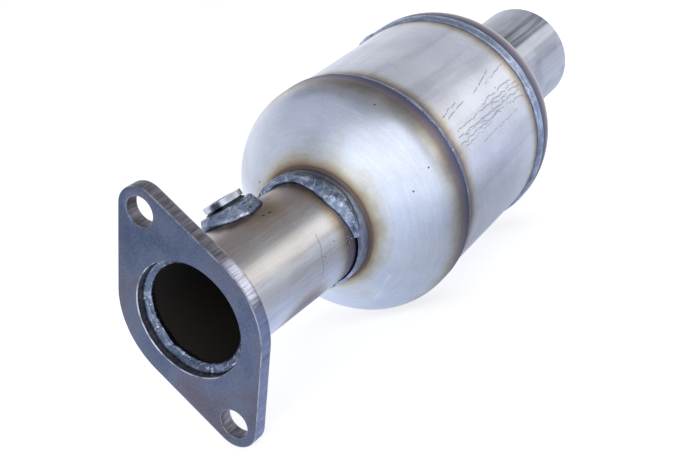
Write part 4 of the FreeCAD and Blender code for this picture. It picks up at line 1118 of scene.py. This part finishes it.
def pipe_patch(name, stations, clocks, rows=12):
    """A patch of the inlet pipe's surface, for spatter to land on."""
    mesh = bpy.data.meshes.new(name)
    points = []
    for row in range(rows + 1):
        clock = clocks[0] + (clocks[1] - clocks[0]) * row / rows
        points += [around(clock, station * MM, PIPE_RADIUS) for station in stations]
    faces = [(2 * row, 2 * row + 1, 2 * row + 3, 2 * row + 2) for row in range(rows)]
    mesh.from_pydata(points, [], faces)
    return link(name, mesh)


SPATTER_PATCHES = [
    # name, stations in millimetres, clocks in degrees, drops to the square metre, seed
    ("spatter_by_the_boss", (62, 68), (-32, 34), 30000.0, 7),
    ("spatter_below_the_bead", (79, 84), (-112, -97), 300000.0, 5),
]


def add_spatter():
    for name, stations, clocks, density, seed in SPATTER_PATCHES:
        patch = pipe_patch(name, stations, clocks)
        grow(patch, spatter, density=density, smallest=0.14 * MM, largest=0.5 * MM, seed=seed,
             material=WELD)
        settle(patch, "weld_metal")


CHANNEL_PITCH = 1.6 * MM
CHANNEL_WALL = 0.25 * MM


@geometry_group("channel walls", "Radius, Length, Pitch, Wall")
def channel_walls(nodes, geometry, radius, length, pitch, wall, material):
    """Fills a round brick with the crossing thin walls of its square channels."""
    count = nodes.math("FLOOR", radius * 2.0 / pitch)
    start = (count - 1.0) * -0.5 * pitch
    line = nodes.node("GeometryNodeMeshLine", mode="OFFSET")
    nodes.put(line.inputs["Count"], count)
    nodes.put(line.inputs["Start Location"], nodes.join(0.0, start))
    nodes.put(line.inputs["Offset"], nodes.join(0.0, pitch))
    across = nodes.value("GeometryNodeInputPosition", 0).part(1)
    square = (radius * radius - across * across).at_least(0.0)
    chord = nodes.math("SQRT", square) * 2.0
    slab = nodes.value("GeometryNodeMeshCube", "Mesh", {"Size": (1.0, 1.0, 1.0)})
    stood = nodes.value("GeometryNodeInstanceOnPoints", 0,
                        {"Points": Value(nodes, line.outputs["Mesh"]), "Instance": slab,
                         "Scale": nodes.join(length, wall, chord)})
    turned = nodes.value("GeometryNodeTransform", 0,
                         {"Geometry": stood, "Rotation": (math.pi / 2, 0, 0)})
    both = nodes.node("GeometryNodeJoinGeometry")
    for shape in (stood, turned, geometry):
        nodes.put(both.inputs[0], shape)
    return finish_geometry(nodes, Value(nodes, both.outputs[0]), material, smooth=False)


def ring_mesh(name, inner, outer, half, steps=160):
    """A round wall about X, from -half to half."""
    corners = [(-half, outer), (half, outer), (half, inner), (-half, inner)]
    points = [around(360 * step / steps, x, r) for step in range(steps) for x, r in corners]
    return link(name, closed_skin(name, points, ring_faces(steps, len(corners), closed=True)))


def add_brick():
    brick = ring_mesh("brick_walls", BRICK_RADIUS - 0.5 * MM, BRICK_RADIUS, BRICK_LENGTH / 2)
    grow(brick, channel_walls, radius=BRICK_RADIUS - 0.3 * MM, length=BRICK_LENGTH,
         pitch=CHANNEL_PITCH, wall=CHANNEL_WALL, material=FINISHES["ceramic_brick"])
    middle = Matrix.Translation((BRICK_START + BRICK_LENGTH / 2, 0, 0))
    brick.data.transform(CANISTER @ middle)
    settle(brick, "ceramic", "ceramic_brick")


# Studio: the surroundings, the floor, and what polished metal reflects.
OBJECT_MIDDLE = Vector((0.13, 0.0, 0.0))
WHITE = (1.0, 1.0, 1.0)


def seen_clearly(nodes):
    """One for what the camera, a reflection or a glass sees, and nought for scattered light."""
    path = nodes.node("ShaderNodeLightPath").outputs
    camera, glossy, clear = [Value(nodes, path[f"Is {kind} Ray"])
                             for kind in ("Camera", "Glossy", "Transmission")]
    return camera.at_least(glossy.at_least(clear))


def set_world():
    world = bpy.data.worlds.new("studio")
    world.use_nodes = True
    bpy.context.scene.world = world
    nodes = Tree(world.node_tree)
    world.node_tree.nodes.remove(world.node_tree.nodes["Background"])
    ambient, white = [
        nodes.value("ShaderNodeBackground", 0, {"Color": color, "Strength": strength})
        for color, strength in (((0.93, 0.95, 1.0), 0.45), (WHITE, 1.0))]
    both = nodes.value("ShaderNodeMixShader", 0, {0: seen_clearly(nodes), 1: ambient, 2: white})
    nodes.put(world.node_tree.nodes["World Output"].inputs["Surface"], both)


def set_floor():
    floor = flat_card("floor", 8.0)
    floor.location = (0.0, 0.0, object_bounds()[0][2] - 0.2 * MM)
    finish = Finish("pale floor", base_color=(0.42, 0.42, 0.43), roughness=0.9)
    matt = Value(finish, finish.tree.nodes["Principled BSDF"].outputs[0])
    glow = finish.value("ShaderNodeEmission", 0, {"Color": WHITE, "Strength": 0.75})
    shown = finish.value("ShaderNodeAddShader", 0, {0: matt, 1: glow})
    both = finish.value("ShaderNodeMixShader", 0, {0: seen_clearly(finish), 1: matt, 2: shown})
    finish.put(finish.tree.nodes["Material Output"].inputs["Surface"], both)
    floor.data.materials.append(finish.material)
    floor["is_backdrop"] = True


@shader_group("tent window", "Direction:Vector, Forward:Vector, Side:Vector, Elevation, "
              "Half Width, Half Height, Softness", "Mask")
def tent_window(nodes, direction, forward, side, elevation, half_width, half_height, softness):
    """A soft-edged window in the light tent, about a heading and an elevation in degrees."""
    heading = nodes.math("ARCTAN2", direction.dot(side), direction.dot(forward))
    turn = abs(nodes.math("DEGREES", heading))
    rise = nodes.math("DEGREES", nodes.math("ARCSINE", direction.part(2)))
    across = (half_width - turn) / softness
    up = (half_height - abs(rise - elevation)) / softness
    return across.span(-1.0, 1.0) * up.span(-1.0, 1.0)


class Glow(Tree):
    """A material that only shines, on a card or tent that polished metal reflects."""

    def __init__(self, name):
        self.material = bpy.data.materials.new(name)
        self.material.use_nodes = True
        super().__init__(self.material.node_tree)
        self.place = self.value("ShaderNodeTexCoord", "Object")
        self.direction = self.vector("NORMALIZE", self.place)

    def window(self, heading, elevation, half_width, half_height, softness):
        turn = math.radians(heading)
        return self.group(tent_window, direction=self.direction,
                          forward=(math.cos(turn), math.sin(turn), 0),
                          side=(-math.sin(turn), math.cos(turn), 0), elevation=elevation,
                          half_width=half_width, half_height=half_height,
                          softness=softness).mask

    def cover(self, thing, color):
        """Makes a thing shine in reflections alone: it neither shows nor shades."""
        light = self.value("ShaderNodeEmission", 0, {"Color": color, "Strength": 1.0})
        self.put(self.tree.nodes["Material Output"].inputs["Surface"], light)
        thing.data.materials.append(self.material)
        thing.visible_camera = False
        thing.visible_diffuse = False
        thing.visible_shadow = False
        thing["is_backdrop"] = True


TENT_RADIUS = 2.2
TENT_CLOTH = (0.32, 0.33, 0.38)
TENT_WINDOWS = [
    # heading, elevation, half width, half height, softness, colour
    (150, 50, 60, 35, 22, (0.58, 0.62, 0.74)),
    (90, 25, 55, 22, 14, (0.68, 0.72, 0.84)),
    (35, 14, 55, 22, 12, (1.00, 1.02, 1.10)),
    (20, 0, 40, 8, 7, (1.30, 1.33, 1.40)),
    (-134, 10, 48, 36, 12, (1.28, 1.34, 1.46)),
    (-48, 8, 30, 16, 9, (1.15, 1.17, 1.22)),
    (-50, 8, 22, 8, 5, (1.24, 1.24, 1.28)),
]


def add_tent():
    """A tent of pale cloth with brighter windows."""
    work = bmesh.new()
    bmesh.ops.create_uvsphere(work, u_segments=64, v_segments=32, radius=TENT_RADIUS)
    bmesh.ops.reverse_faces(work, faces=work.faces)
    mesh = bpy.data.meshes.new("light_tent")
    work.to_mesh(mesh)
    work.free()
    tent = link("light_tent", mesh)
    tent.location = OBJECT_MIDDLE
    glow = Glow("tent cloth")
    windows = [(glow.window(*opening), color) for *opening, color in TENT_WINDOWS]
    glow.cover(tent, glow.layers(TENT_CLOTH, *windows))


MIRROR_FLOOR_SIZE = 7.0
FAR_FLOOR = (1.12, 1.18, 1.34)
DIM_SIDE = (0.70, 0.73, 0.84)
DIM_SIDE_WINDOW = (-45, 0, 34, 90, 14)
NEAR_FLOOR = (0.78, 0.86, 1.06)
SHADE = (0.44, 0.47, 0.56)
SHADE_MIDDLE = Vector((0.18, -0.07))
SHADE_SIZE = Vector((0.10, 0.075))


def add_mirror_floor():
    """The floor as polished metal reflects it: pale, dimmer to one side and near the object."""
    card = flat_card("mirror_floor", MIRROR_FLOOR_SIZE)
    card.location = (*SHADE_MIDDLE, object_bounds()[0][2] - 0.1 * MM)
    glow = Glow("mirror floor")
    off = (glow.place * (1 / SHADE_SIZE.x, 1 / SHADE_SIZE.y, 0)).length()
    glow.cover(card, glow.layers(
        FAR_FLOOR, (glow.window(*DIM_SIDE_WINDOW), DIM_SIDE),
        (off.fade(1.2, 3.2), NEAR_FLOOR), (off.fade(0.35, 1.7), SHADE)))


set_camera()
set_world()
set_floor()
add_tent()
add_mirror_floor()
softbox("key", (-1.0, -1.2, 0.9), OBJECT_MIDDLE, 1.6, 1.0, 14.0, (0.96, 0.98, 1.0))
softbox("overhead", (0.6, -0.3, 1.4), OBJECT_MIDDLE, 1.2, 1.2, 6.0)

for node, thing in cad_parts.items():
    thing.data.materials.clear()
    thing.data.materials.append(FINISHES.get(node, WELD))

add_flange_plate()
add_flange_bead()
add_neck_bead()
add_boss_fillet()
add_seam_bead("inlet_seam_bead", "inlet_seam_weld", INLET_EDGE, 1, 0.5 * MM, 0.3 * MM,
              LAP_METAL, 27.0, 1.3)
add_seam_bead("outlet_seam_bead", "outlet_seam_weld", OUTLET_EDGE, -1, SEAM_LAP, 0.5 * MM,
              SEAM_METAL, 22.0, 7.9)
add_rolled_joint_bead()
add_outlet_neck_bead()
add_spatter()
add_brick()

bpy.context.scene.view_settings.view_transform = "Standard"
